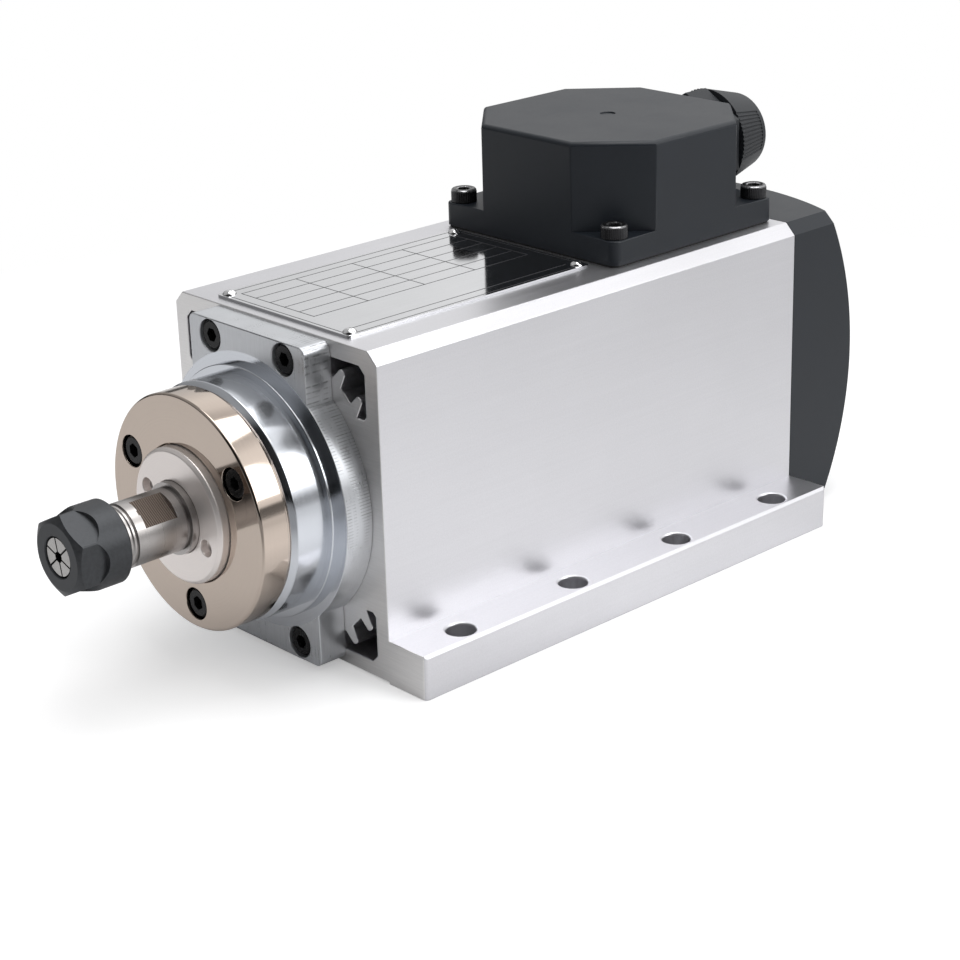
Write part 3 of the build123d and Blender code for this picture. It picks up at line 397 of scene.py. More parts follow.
@dataclass(frozen=True)
class BearingHousingMetal(Finish):
    """Machined steel with a zinc-blue cast: milled lugs and rim, and a polished nose."""

    metallic: float = 0.82
    nose_colour: Colour = (0.68, 0.705, 0.75)
    nose_roughness: float = 0.12
    nose_rear: float = -77.9
    nose_radius: float = 33.0
    barrel_span: Pair = (-88.3, -80.05)
    barrel_haze: float = 0.055
    barrel_metallic: float = 0.9
    rim_radius: float = 32.6
    tick_radius: float = 33.4
    tick_pitch: float = 0.76
    tick_width: float = 0.16
    tick_depth: float = 0.6
    tick_foot: Pair = (-0.35, 0.05)
    tick_head: Pair = (1.15, 1.35)

    def paint(self, graph: Graph) -> None:
        """Milled surfaces behind the nose, tool marks on the rim, and the nose polished with a hazy barrel.

        Args:
            graph: The material's graph.
        """
        radius, station, _ = graph.round_axis()
        nose = graph.product(graph.math("LESS_THAN", station, self.nose_rear),
                             graph.math("LESS_THAN", radius, self.nose_radius))
        barrel = graph.product(graph.between(station, *self.barrel_span), nose)
        metallic = graph.span(nose, 0.0, 1.0, self.metallic, 1.0)
        strokes = graph.noise(graph.place((1.2, 2.4, 0.06)), 1.5, detail=4.0, roughness=0.7)
        tone = graph.weigh((strokes, 0.5), (graph.noise(graph.place(), 0.16, detail=4.0), 0.5))
        rings = graph.rings(2.2)
        ticks = self.ticks(graph)
        milled = graph.scaled(graph.tint(tone, self.colour, 0.9, 1.08, (0.32, 0.68)),
                              graph.inverse(graph.product(ticks, self.tick_depth)))
        smooth = graph.vary(rings, self.nose_roughness, 0.8, 1.3)
        graph.feed_shader(
            metallic=graph.math("SUBTRACT", metallic, graph.product(barrel, 1.0 - self.barrel_metallic)),
            base_color=graph.blend(nose, milled, graph.tint(rings, self.nose_colour, 0.96, 1.03)),
            roughness=graph.pick(nose, graph.vary(tone, self.roughness, 0.7, 1.25),
                                 graph.math("ADD", smooth, graph.product(barrel, self.barrel_haze))),
        )
        graph.bump(graph.inverse(ticks), 0.04)
        graph.bump(graph.product(strokes, graph.inverse(nose)), 0.004)
        graph.bump(rings, 0.0012)

    def ticks(self, graph: Graph) -> Socket:
        """Short cutter marks along the plate's round rim, on its upper and middle part.

        Args:
            graph: The material's graph.

        Returns:
            1 in the middle of a mark, and 0 between the marks.
        """
        radius, station, angle = graph.round_axis()
        arc = graph.product(angle, self.tick_radius)
        line = graph.span(graph.math("PINGPONG", arc, self.tick_pitch / 2), 0.0, self.tick_width, 1.0, 0.0)
        patch = graph.noise(graph.join(graph.product(angle, 2.4), graph.product(station, 0.45)), 1.0)
        uneven = graph.noise(graph.join(arc), 0.9, detail=1.0)
        zone = graph.product(graph.span(patch, 0.44, 0.56), graph.span(uneven, 0.3, 0.6))
        upper = graph.product(graph.span(angle, *self.tick_foot), graph.span(angle, *self.tick_head, 1.0, 0.0))
        rim = graph.product(graph.math("GREATER_THAN", radius, self.rim_radius), graph.inverse(graph.facing_y()))
        return graph.product(line, zone, upper, rim)


@dataclass(frozen=True)
class ShaftSteel(Finish):
    """Ground shaft steel, with lathe rings and brown milled spanner flats."""

    flat_colour: Colour = (0.1, 0.08, 0.068)
    flat_normal: Point = (0.5878, 0.0, 0.809)
    flat_slope: float = 0.996
    flat_span: Pair = (-113.5, -104.6)
    stroke_pitch: float = 0.54

    def paint(self, graph: Graph) -> None:
        """Rings round the shaft, and strokes across the flats.

        Args:
            graph: The material's graph.
        """
        _, station, _ = graph.round_axis()
        rings = graph.rings(3.2)
        facing = graph.math("ABSOLUTE", graph.dot(graph.normal(), self.flat_normal))
        flats = graph.product(graph.math("GREATER_THAN", facing, self.flat_slope),
                              graph.between(station, *self.flat_span))
        wander = graph.product(graph.noise(graph.place((0.5, 1.0, 0.5)), 0.8), 0.2)
        stroke = graph.math("PINGPONG", graph.math("ADD", station, wander), self.stroke_pitch / 2)
        strokes = graph.span(stroke, 0.02, 0.2)
        brown = graph.tint(strokes, self.flat_colour, 0.4, 1.7, (0.1, 0.9))
        graph.feed_shader(
            metallic=1.0, anisotropic=0.35,
            base_color=graph.blend(flats, graph.tint(rings, self.colour, 0.96, 1.04), brown),
            roughness=graph.math("ADD", graph.vary(rings, self.roughness, 0.9, 1.12), graph.product(flats, 0.2)),
        )
        graph.bump(graph.product(strokes, flats), 0.05)
        graph.bump(rings, 0.0004)
        graph.tangent()


@dataclass(frozen=True)
class BlackOxide(Finish):
    """Blackened steel: dark, faintly mottled, and with a painted highlight, a lighter band, between two heights where
    they are given.
    """

    metallic: float = 0.75
    mottle: float = 0.18
    relief: float = 0.006
    highlight_span: Pair = (1000.0, 1001.0)
    highlight_colour: Colour = (0.42, 0.42, 0.43)

    def paint(self, graph: Graph) -> None:
        """The blackened surface with its band of painted highlight.

        Args:
            graph: The material's graph.
        """
        mottle = graph.noise(graph.place(), 1.1, detail=4.0, roughness=0.6)
        _, _, height = graph.split(graph.place())
        # Painted highlight: a lighter grey band between two heights, standing in for the light that the screw heads'
        # rounded top rim catches.
        painted_rim_highlight = graph.product(graph.between(height, *self.highlight_span), graph.span(mottle, 0.3, 0.6, 0.35, 1.0))
        graph.feed_shader(
            metallic=self.metallic,
            base_color=graph.blend(painted_rim_highlight, graph.tint(mottle, self.colour, 1 - self.mottle, 1 + self.mottle),
                                   graph.tint(mottle, self.highlight_colour, 0.8, 1.0)),
            roughness=graph.vary(mottle, self.roughness, 0.85, 1.15),
        )
        graph.bump(graph.noise(graph.place(), 6.0, detail=3.0), self.relief)


@dataclass(frozen=True)
class Plastic(Finish):
    """Moulded plastic with an eroded texture."""

    grain_scale: float = 3.4
    grain_depth: float = 0.012
    specular: float = 0.5
    scuffs: float = 0.12

    def paint(self, graph: Graph) -> None:
        """The moulded skin, with faint scuffs.

        Args:
            graph: The material's graph.
        """
        fine = graph.noise(graph.place(), self.grain_scale, detail=3.0, roughness=0.6)
        broad = graph.noise(graph.place(), 0.06, detail=3.0)
        scuff = graph.span(graph.noise(graph.place((1.0, 0.35, 1.0)), 0.22, detail=5.0, roughness=0.7), 0.56, 0.72)
        tone = graph.weigh((broad, 0.6), (fine, 0.4), (scuff, self.scuffs))
        graph.feed_shader(
            specular_ior_level=self.specular,
            base_color=graph.tint(tone, self.colour, 0.9, 1.16, (0.3, 0.75)),
            roughness=graph.vary(tone, self.roughness, 0.93, 1.08),
        )
        graph.bump(fine, self.grain_depth)


@dataclass(frozen=True)
class Laminated(Finish):
    """Stacked sheet steel, seen edge on."""

    sheet: float = 0.5
    gap: float = 0.06

    def paint(self, graph: Graph) -> None:
        """Thin lines between the sheets.

        Args:
            graph: The material's graph.
        """
        _, along, _ = graph.split(graph.place())
        line = graph.span(graph.math("PINGPONG", along, self.sheet / 2), 0.0, self.gap)
        rust = graph.noise(graph.place(), 0.7, detail=4.0)
        tone = graph.product(line, graph.span(rust, 0.3, 0.7, 0.7, 1.0))
        graph.feed_shader(
            metallic=0.9, base_color=graph.tint(tone, self.colour, 0.35, 1.0, (0.0, 1.0)),
            roughness=graph.vary(rust, self.roughness, 1.0, 1.3),
        )
        graph.bump(line, 0.03)


@dataclass(frozen=True)
class Winding(Finish):
    """Varnished wire, laid in bundles."""

    wire: float = 0.7

    def paint(self, graph: Graph) -> None:
        """Wire lines under amber varnish.

        Args:
            graph: The material's graph.
        """
        radius, _, _ = graph.round_axis()
        warp = graph.noise(graph.place(), 0.25)
        turns = graph.math("ADD", radius, graph.product(warp, 3.0))
        height = graph.span(graph.math("PINGPONG", turns, self.wire / 2), 0.0, self.wire / 2)
        graph.feed_shader(
            metallic=0.7, coat_weight=0.5, coat_roughness=0.15,
            base_color=graph.tint(height, self.colour, 0.35, 1.0, (0.0, 0.8)),
            roughness=graph.vary(warp, self.roughness, 0.8, 1.3),
        )
        graph.bump(height, 0.15)


@dataclass(frozen=True)
class Ink(Finish):
    """Printed ink on a metal plate."""

    def paint(self, graph: Graph) -> None:
        """Slightly uneven printed cover.

        Args:
            graph: The material's graph.
        """
        graph.feed_shader(
            metallic=0.0, base_color=graph.tint(graph.noise(graph.place(), 9.0, detail=3.0), self.colour, 0.7, 1.3),
            roughness=graph.vary(graph.noise(graph.place(), 4.0), self.roughness, 0.8, 1.2),
        )


class Paint:
    """The finishes of all pieces, each made once."""

    anodised = Anodised("satin_anodised", (0.715, 0.712, 0.737), 0.36)
    bearing_housing = BearingHousingMetal("machined_bearing_housing", (0.62, 0.635, 0.66), 0.33)
    ring = Metal("warm_polished_ring", (0.58, 0.495, 0.43), 0.08, Grain.TURNED, 0.02, 2.6, 0.0012, 0.3)
    dust_cap = Metal("satin_dust_cap", (0.94, 0.88, 0.85), 0.34, Grain.TURNED, 0.03, 3.4, 0.006, 0.3, 0.8)
    shaft = ShaftSteel("ground_shaft_steel", (0.46, 0.44, 0.43), 0.29)
    nut = BlackOxide("matt_black_nut", (0.058, 0.061, 0.066), 0.46, 0.6)
    screws = BlackOxide("black_oxide_screws", (0.022, 0.022, 0.023), 0.27, 0.8)
    # The two heights bound a painted highlight round the top rim of the box screws' heads.
    box_screws = BlackOxide("black_box_screws_painted_highlight", (0.05, 0.05, 0.053), 0.2, 0.85, 0.12, 0.0015, (88.82, 89.33))
    collet = Metal("spring_steel", (0.44, 0.43, 0.42), 0.22, Grain.EVEN, 0.16, 1.2, 0.01)
    plastic = Plastic("charcoal_plastic", (0.0105, 0.014, 0.0195), 0.44, 3.4, 0.012, 0.42)
    nylon = Plastic("black_nylon", (0.017, 0.0195, 0.0235), 0.5, 2.0, 0.004, 0.42, 0.05)
    rubber = Plastic("seal_rubber", (0.02, 0.02, 0.02), 0.6, 2.4, 0.02, 0.3, 0.05)
    foil = Metal("nameplate_foil", (0.67, 0.675, 0.69), 0.09, Grain.ALONG_Y, 0.02, 2.0, 0.0012)
    ink = Ink("printed_ink", (0.05, 0.05, 0.055), 0.35)
    rivet = Metal("bright_rivet", (0.86, 0.86, 0.87), 0.08, Grain.EVEN, 0.05, 1.5, 0.004)
    bearing = Metal("bearing_steel", (0.78, 0.78, 0.79), 0.1, Grain.TURNED, 0.03, 3.0, 0.001)
    steel = Metal("satin_steel", (0.70, 0.70, 0.69), 0.25, Grain.TURNED, 0.05, 3.0, 0.004)
    cast = Metal("cast_aluminium", (0.58, 0.58, 0.59), 0.42, Grain.EVEN, 0.1, 1.4, 0.03)
    brass = Metal("plated_brass", (0.72, 0.56, 0.28), 0.2, Grain.EVEN, 0.05, 2.0, 0.003)
    lamination = Laminated("stacked_steel", (0.30, 0.30, 0.31), 0.4)
    winding = Winding("varnished_wire", (0.62, 0.27, 0.11), 0.3)
    block = Plastic("ivory_plastic", (0.70, 0.67, 0.58), 0.42, 2.6, 0.006)
    lead = Plastic("lead_insulation", (0.16, 0.035, 0.03), 0.5, 2.0, 0.004)

    _made: dict[str, bpy.types.Material] = {}

    @classmethod
    def get(cls, finish: Finish) -> bpy.types.Material:
        """The material of a finish, built when it is first asked for.

        Args:
            finish: The finish.

        Returns:
            Its material.
        """
        if finish.name not in cls._made:
            cls._made[finish.name] = finish.material()
        return cls._made[finish.name]


# Piece tools


def add_object(name: str, data: bpy.types.ID) -> bpy.types.Object:
    """Puts an object in the scene.

    Args:
        name: The object's name.
        data: Its mesh, lamp or camera.

    Returns:
        The object.
    """
    made = bpy.data.objects.new(name, data)
    bpy.context.scene.collection.objects.link(made)
    return made


def add_modifier(target: bpy.types.Object, name: str, kind: str, **settings: object) -> None:
    """Adds a modifier.

    Args:
        target: The object.
        name: The modifier's name.
        kind: The modifier's type.
        settings: Its settings.
    """
    made = target.modifiers.new(name, kind)
    for key, value in settings.items():
        setattr(made, key, value)


def soften(target: bpy.types.Object, width: float) -> None:
    """Rounds a carried-over piece's sharp edges, and keeps its large faces flat in shading.

    Args:
        target: The piece.
        width: Width of the rounded edge.
    """
    add_modifier(target, "weld", "WELD", merge_threshold=MERGE_METRES)
    add_modifier(target, "flat_faces", "DECIMATE", decimate_type="DISSOLVE", angle_limit=FACET_ANGLE)
    add_modifier(target, "soft_edges", "BEVEL", width=width * MM, segments=2, limit_method="ANGLE",
                 angle_limit=EDGE_ANGLE, miter_outer="MITER_ARC")
    add_modifier(target, "level_shading", "WEIGHTED_NORMAL", mode="FACE_AREA", weight=50)


def dress_nodes(finish: Finish, *names: str, edge: float = 0.0) -> None:
    """Paints carried-over pieces, and rounds their edges where a width is given.

    Args:
        finish: Their finish.
        names: The pieces.
        edge: Width of the rounded edges, or 0 for none.
    """
    for name in names:
        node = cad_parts[name]
        for holder in node.material_slots:
            holder.material = Paint.get(finish)
        if edge:
            soften(node, edge)
        LOG.info("%s: %s, edges %.2f mm", name, finish.name, edge)


def is_upright(first: Vector, last: Vector, least: float) -> bool:
    """Whether an edge between two ends stands upright and is longer than the least height."""
    return math.hypot(first.x - last.x, first.y - last.y) < SAME / 2 and abs(first.z - last.z) > least


class Piece:
    """A modelled piece that is built in a bmesh and then placed and painted."""

    def __init__(self, name: str) -> None:
        """Starts an empty piece of that name."""
        self.name = name
        self.mesh = bmesh.new()

    def lathe(self, outline: Sequence[Pair], segments: int, middle: Point,
              ripple: Callable[[int, float], float]) -> None:
        """Turns an open outline about an upright axis.

        Args:
            outline: (radius, height) points.
            segments: Number of steps round the axis.
            middle: The point of the axis that heights are measured from.
            ripple: Radius to add for an outline index and an angle.
        """
        rows = []
        for step in range(segments):
            angle = 2 * math.pi * step / segments
            row = []
            for index, (radius, height) in enumerate(outline):
                reach = radius + ripple(index, angle)
                local = Vector((reach * math.cos(angle), reach * math.sin(angle), height))
                row.append(self.mesh.verts.new((Matrix.Translation(middle) @ local) * MM))
            rows.append(row)
        for row, after in zip(rows, rows[1:] + rows[:1]):
            for index in range(len(outline) - 1):
                self.mesh.faces.new((row[index], after[index], after[index + 1], row[index + 1]))

    def block(self, low: Point, high: Point) -> None:
        """Adds a box.

        Args:
            low: Its lowest corner.
            high: Its highest corner.
        """
        corners = [
            self.mesh.verts.new(Vector((x, y, z)) * MM)
            for x in (low[0], high[0]) for y in (low[1], high[1]) for z in (low[2], high[2])
        ]
        for loop in ((0, 1, 3, 2), (4, 6, 7, 5), (0, 4, 5, 1), (2, 3, 7, 6), (0, 2, 6, 4), (1, 5, 7, 3)):
            self.mesh.faces.new([corners[index] for index in loop])

    def start_from(self, name: str) -> None:
        """Starts from a carried-over solid, cleaned of the seams between its facets.

        Args:
            name: The solid.
        """
        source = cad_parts[name]
        self.mesh.from_mesh(source.data)
        self.mesh.transform(source.matrix_world)
        bmesh.ops.remove_doubles(self.mesh, verts=self.mesh.verts, dist=MERGE_METRES)
        bmesh.ops.dissolve_limit(self.mesh, angle_limit=FACET_ANGLE, verts=self.mesh.verts, edges=self.mesh.edges)

    def round_edges(self, width: float, segments: int, choose: EdgeTest | None = None) -> None:
        """Rounds sharp outer edges.

        Args:
            width: Width of the rounded edge.
            segments: Number of steps across it.
            choose: Tests an edge by its two ends, in millimetres; without it, every sharp edge is rounded.
        """
        edges = [
            edge for edge in self.mesh.edges
            if edge.is_manifold and edge.is_convex and edge.calc_face_angle(0.0) > EDGE_ANGLE
            and (choose is None or choose(edge.verts[0].co / MM, edge.verts[1].co / MM))
        ]
        bmesh.ops.bevel(self.mesh, geom=edges, offset=width * MM, segments=segments, profile=0.5, affect="EDGES",
                        clamp_overlap=False, miter_outer="ARC")
        LOG.info("%s: %d edges rounded by %.2f mm", self.name, len(edges), width)

    def finish(self, finish: Finish, slot: str, replaces: Sequence[str] = (), smooth: float = 30.0,
               level: bool = False) -> None:
        """Turns the bmesh into an object that rides on the housing.

        Args:
            finish: The piece's finish.
            slot: Not used.
            replaces: Carried-over pieces that it stands for.
            smooth: Greatest angle in degrees across which shading is smooth.
            level: Whether large faces keep flat shading up to their rounded edges.
        """
        bmesh.ops.recalc_face_normals(self.mesh, faces=self.mesh.faces)
        data = bpy.data.meshes.new(self.name)
        self.mesh.to_mesh(data)
        self.mesh.free()
        data.shade_smooth()
        data.set_sharp_from_angle(angle=math.radians(smooth))
        made = add_object(self.name, data)
        data.materials.append(Paint.get(finish))
        if level:
            add_modifier(made, "level_shading", "WEIGHTED_NORMAL", mode="FACE_AREA", keep_sharp=True)
        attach(made, HOUSING)
        if replaces:
            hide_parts(*replaces)
        LOG.info("%s: %s", self.name, finish.name)


# Sub-assemblies


@dataclass
class MotorHousing:
    """The ducted extrusion on its two feet."""

    edge: float = 0.25
    foot_corner: float = 1.1
    foot_reach: float = 48.0
    foot_top: float = 12.0
    foot_least: float = 3.0

    def dress(self) -> None:
        """Rounds the extrusion's edges, the feet's corners more than the rest."""
        body = Piece("finned_extrusion")
        body.start_from("motor_housing")
        body.round_edges(self.foot_corner, 4, self.is_foot_corner)
        body.round_edges(self.edge, 2)
        body.finish(Paint.anodised, "anodised_aluminium", ("motor_housing",), smooth=35.0, level=True)

    def is_foot_corner(self, first: Vector, last: Vector) -> bool:
        """Whether an edge is an upright corner of a foot."""
        outer = abs(first.x) > self.foot_reach and max(first.z, last.z) < self.foot_top
        return outer and is_upright(first, last, self.foot_least)


@dataclass
class FrontBearingHousing:
    """The lugged plate with its polished nose, the cover ring, the dust cap and their screws."""

    edge: float = 0.25
    nose_radius: float = 28.5
    nose_front: float = -89.5
    chamfer: float = 0.5
    wide_chamfer: float = 1.25
    ring_edge: float = 0.2
    cap_edge: float = 0.3
    screw_edge: float = 0.12

    def dress(self) -> None:
        """Softens and paints the front pieces."""
        plate = Piece("machined_front_plate")
        plate.start_from("front_bearing_housing")
        self.open_chamfer(plate)
        plate.round_edges(self.edge, 2)
        plate.finish(Paint.bearing_housing, "machined_aluminium", ("front_bearing_housing",), smooth=35.0, level=True)
        dress_nodes(Paint.ring, "front_cover_ring", edge=self.ring_edge)
        dress_nodes(Paint.dust_cap, "dust_cap", edge=self.cap_edge)
        dress_nodes(Paint.screws, "front_housing_screws", "front_cover_screws", edge=self.screw_edge)
        dress_nodes(Paint.bearing, "front_bearing_outer_rings", "front_bearing_inner_rings", "front_bearing_balls")

    def open_chamfer(self, plate: Piece) -> None:
        """Widens the chamfer at the nose's front, which shows as a dark band behind the ring.

        Args:
            plate: The plate's piece.
        """
        for vert in plate.mesh.verts:
            x, y, z = vert.co / MM
            reach = math.hypot(x, z - AXIS_HEIGHT)
            if abs(reach - self.nose_radius) < SAME and abs(y - self.nose_front - self.chamfer) < SAME:
                vert.co.y = (self.nose_front + self.wide_chamfer) * MM
            elif abs(reach - self.nose_radius + self.chamfer) < SAME and abs(y - self.nose_front) < SAME:
                share = (self.nose_radius - self.wide_chamfer) / reach
                vert.co.x = x * share * MM
                vert.co.z = (AXIS_HEIGHT + (z - AXIS_HEIGHT) * share) * MM


@dataclass
class Chuck:
    """The shaft's nose with its collet and nut."""

    shaft_edge: float = 0.15
    nut_edge: float = 0.2
    collet_edge: float = 0.1

    def dress(self) -> None:
        """Softens and paints the shaft, the nut and the collet."""
        dress_nodes(Paint.shaft, "spindle_shaft", edge=self.shaft_edge)
        dress_nodes(Paint.nut, "collet_nut", edge=self.nut_edge)
        dress_nodes(Paint.collet, "collet", edge=self.collet_edge)


@dataclass
class Motor:
    """The stator, rotor, rear bearing and fan inside the housing."""

    fan_edge: float = 0.15

    def dress(self) -> None:
        """Paints each inner piece."""
        dress_nodes(Paint.lamination, "stator_core", "rotor_core")
        dress_nodes(Paint.winding, "stator_windings")
        dress_nodes(Paint.cast, "rotor_cage", "rear_bearing_bracket")
        dress_nodes(Paint.bearing, "rear_bearing_outer_ring", "rear_bearing_inner_ring", "rear_bearing_balls")
        dress_nodes(Paint.steel, "wave_spring", "shaft_circlip", "fan_washer", "fan_nut")
        dress_nodes(Paint.nylon, "cooling_fan", edge=self.fan_edge)


@dataclass
class RearCover:
    """The domed fan cover and its screws."""

    edge: float = 0.4
    screw_edge: float = 0.12

    def dress(self) -> None:
        """Softens and paints the cover and its screws."""
        dress_nodes(Paint.plastic, "rear_cover", edge=self.edge)
        dress_nodes(Paint.screws, "rear_cover_screws", edge=self.screw_edge)


@dataclass
class SocketScrews:
    """Socket cap screws with knurled heads that hold the terminal box."""

    points: tuple[Pair, ...]
    seat: float
    head_radius: float = 3.3
    head_height: float = 3.4
    shank_radius: float = 2.0
    shank_length: float = 10.1
    socket_across_flats: float = 3.0
    socket_depth: float = 2.0
    socket_base: float = 1.0
    knurl_count: int = 44
    knurl_depth: float = 0.1
    segments: int = 176
    knurled: tuple[int, ...] = (5, 6)
    socket: tuple[int, ...] = (12, 13)

    def build(self) -> None:
        """Models the screws in one piece."""
        piece = Piece("knurled_box_screws")
        outline = self.outline()
        for x, y in self.points:
            piece.lathe(outline, self.segments, (x, y, self.seat), self.ripple)
        piece.finish(Paint.box_screws, "black_oxide", ("terminal_box_screws",), smooth=28.0)

    def outline(self) -> list[Pair]:
        """A screw's outline: shank, knurled head with two rounded edges, and socket.

        Returns:
            (radius, height) points, with heights measured from the face under the head.
        """
        head, top, floor = self.head_radius, self.head_height, self.head_height - self.socket_depth
        return [
            (ON_AXIS, -self.shank_length), (self.shank_radius, -self.shank_length), (self.shank_radius, 0.0),
            (head - 0.15, 0.0), (head, 0.15), (head, 0.45), (head, top - 0.75), (head - 0.06, top - 0.6),
            (head - 0.12, top - 0.34), (head - 0.34, top - 0.1), (head - 0.6, top),
            (self.socket_across_flats / 2 + 0.55, top), (self.socket_base, top - 0.2), (self.socket_base, floor),
            (ON_AXIS, floor - 0.4),
        ]

    def ripple(self, index: int, angle: float) -> float:
        """Radius that the ribs on the head's side take away, and that the socket's flats add.

        Args:
            index: The outline's point.
            angle: Angle round the screw.

        Returns:
            The radius to add.
        """
        if index in self.knurled:
            return -self.knurl_depth * (0.5 - 0.5 * math.cos(angle * self.knurl_count))
        if index in self.socket:
            sector = math.radians(60)
            return self.socket_across_flats / 2 / math.cos((angle % sector) - sector / 2) - self.socket_base
        return 0.0


@dataclass
class TerminalBox:
    """The eight-sided moulded box with its gasket, screws, terminal block and leads."""

    roof_edge: float = 1.3
    upright_edge: float = 0.35
    upright_least: float = 8.0
    lug_edge: float = 0.5
    mark_reach: float = 12.0
    lug_top: float = 86.0
    width: float = 60.4
    length: float = 58.4
    centre: float = 39.95
    screw_inset: float = 3.6

    def dress(self) -> None:
        """Rounds and paints the box, and builds its screws."""
        box = Piece("moulded_terminal_box")
        box.start_from("terminal_box")
        roof = max(vert.co.z for vert in box.mesh.verts) / MM
        box.round_edges(self.roof_edge, 4, lambda first, last: self.is_roof_edge(first, last, roof))
        box.round_edges(self.upright_edge, 2, self.is_upright_edge)
        box.round_edges(self.lug_edge, 3, self.is_lug_edge)
        box.finish(Paint.plastic, "charcoal_plastic", ("terminal_box",), smooth=40.0, level=True)
        dress_nodes(Paint.rubber, "terminal_box_gasket")
        dress_nodes(Paint.block, "terminal_block")
        dress_nodes(Paint.brass, "terminal_screws")
        dress_nodes(Paint.lead, "motor_leads")
        across, along = self.width / 2 - self.screw_inset, self.length / 2 - self.screw_inset
        points = tuple((x, self.centre + y) for x in (across, -across) for y in (along, -along))
        SocketScrews(points, self.lug_top).build()

    def is_roof_edge(self, first: Vector, last: Vector, roof: float) -> bool:
        """Whether an edge is round the box's roof, away from the mark in its middle."""
        apart = min(math.hypot(end.x, end.y - self.centre) for end in (first, last)) > self.mark_reach
        return apart and min(first.z, last.z) > roof - SAME

    def is_upright_edge(self, first: Vector, last: Vector) -> bool:
        """Whether an edge is one of the box's upright corners."""
        return is_upright(first, last, self.upright_least) and min(first.z, last.z) > self.lug_top - self.lug_edge

    def is_lug_edge(self, first: Vector, last: Vector) -> bool:
        """Whether an edge is round the top of the lugs."""
        return abs(first.z - self.lug_top) < SAME and abs(last.z - self.lug_top) < SAME


@dataclass
class CableGland:
    """The gland's hexagon body, tapered cap, locknut and seal."""

    body_edge: float = 0.3
    cap_edge: float = 0.06

    def dress(self) -> None:
        """Softens and paints the gland's pieces."""
        dress_nodes(Paint.nylon, "gland_body", edge=self.body_edge)
        dress_nodes(Paint.nylon, "gland_cap", edge=self.cap_edge)
        dress_nodes(Paint.nylon, "gland_locknut")
        dress_nodes(Paint.rubber, "gland_seal")


@dataclass
class Nameplate:
    """The bright plate with a plain ruled table, held by four rivets."""

    edge: float = 0.15
    width: float = 48.0
    front: float = -67.5
    length: float = 76.0
    thickness: float = 0.6
    rule: float = 0.22
    rule_height: float = 0.03
    rule_sink: float = 0.01
    margin: float = 4.2
    border: float = 1.0
    header: float = 13.0
    rows: int = 5
    columns: tuple[float, ...] = (0.0, 0.24, 0.5, 0.74, 1.0)
    rivet_inset: float = 2.2
    rivet_outline: tuple[Pair, ...] = (
        (ON_AXIS, -3.0), (0.9, -3.0), (0.9, 0.0), (1.65, 0.0), (1.65, 0.15), (1.42, 0.48), (1.05, 0.76), (0.6, 0.92),
        (ON_AXIS, 0.98),
    )
    rivet_segments: int = 48
    rivet_fluted: tuple[int, ...] = (5, 6, 7)
    flute_count: int = 4
    flute_depth: float = 0.25

    @property
    def top(self) -> float:
        """Height of the plate's face."""
        return BODY_TOP + self.thickness

    def dress(self) -> None:
        """Paints the plate, rules its table and builds its rivets."""
        dress_nodes(Paint.foil, "nameplate", edge=self.edge)
        self.table()
        self.rivets()

    def table(self) -> None:
        """Rules a plain table: a border, rows along the plate, and columns across them."""
        piece = Piece("nameplate_rules")
        left, right = -self.width / 2 + self.margin, self.width / 2 - self.margin
        front, rear = self.front + self.margin, self.front + self.length - self.margin
        table_right = right - self.header
        pitch = (table_right - left) / self.rows
        for index in range(self.rows + 1):
            self.line(piece, left + index * pitch, front, left + index * pitch, rear)
        for fraction in self.columns:
            across = front + fraction * (rear - front)
            self.line(piece, left, across, table_right, across)
        self.line(piece, right, front, right, rear)
        side, end = self.width / 2 - self.border, self.length / 2 - self.border
        middle = self.front + self.length / 2
        for x in (side, -side):
            self.line(piece, x, middle - end, x, middle + end)
        for y in (middle - end, middle + end):
            self.line(piece, -side, y, side, y)
        piece.finish(Paint.ink, "plate_metal")

    def line(self, piece: Piece, x0: float, y0: float, x1: float, y1: float) -> None:
        """Adds one rule between two points on the plate's face."""
        half = self.rule / 2
        piece.block((min(x0, x1) - half, min(y0, y1) - half, self.top - self.rule_sink),
                    (max(x0, x1) + half, max(y0, y1) + half, self.top + self.rule_height))

    def rivets(self) -> None:
        """Models four rivets with pressed, star-shaped domes."""
        piece = Piece("pressed_rivets")
        across = self.width / 2 - self.rivet_inset
        for x in (across, -across):
            for y in (self.front + self.rivet_inset, self.front + self.length - self.rivet_inset):
                piece.lathe(self.rivet_outline, self.rivet_segments, (x, y, self.top), self.flute)
        piece.finish(Paint.rivet, "satin_steel", ("nameplate_rivets",), smooth=50.0)

    def flute(self, index: int, angle: float) -> float:
        """Radius that the pressed flutes take from a rivet's dome."""
        depth = self.flute_depth if index in self.rivet_fluted else 0.0
        return -depth * (0.5 + 0.5 * math.cos(self.flute_count * angle))


# Studio


@dataclass(frozen=True)
class Lamp:
    """A soft rectangular lamp."""

    name: str
    place: Point
    aim: Point
    width: float
    height: float
    watts: float

    def build(self) -> None:
        """Adds the lamp to the scene."""
        data = bpy.data.lights.new(self.name, "AREA")
        data.shape = "RECTANGLE"
        data.size, data.size_y = self.width * MM, self.height * MM
        data.energy = self.watts
        made = add_object(self.name, data)
        made.location = Vector(self.place) * MM
        direction = (Vector(self.aim) - Vector(self.place)) * MM
        made.rotation_euler = direction.to_track_quat("-Z", "Y").to_euler()


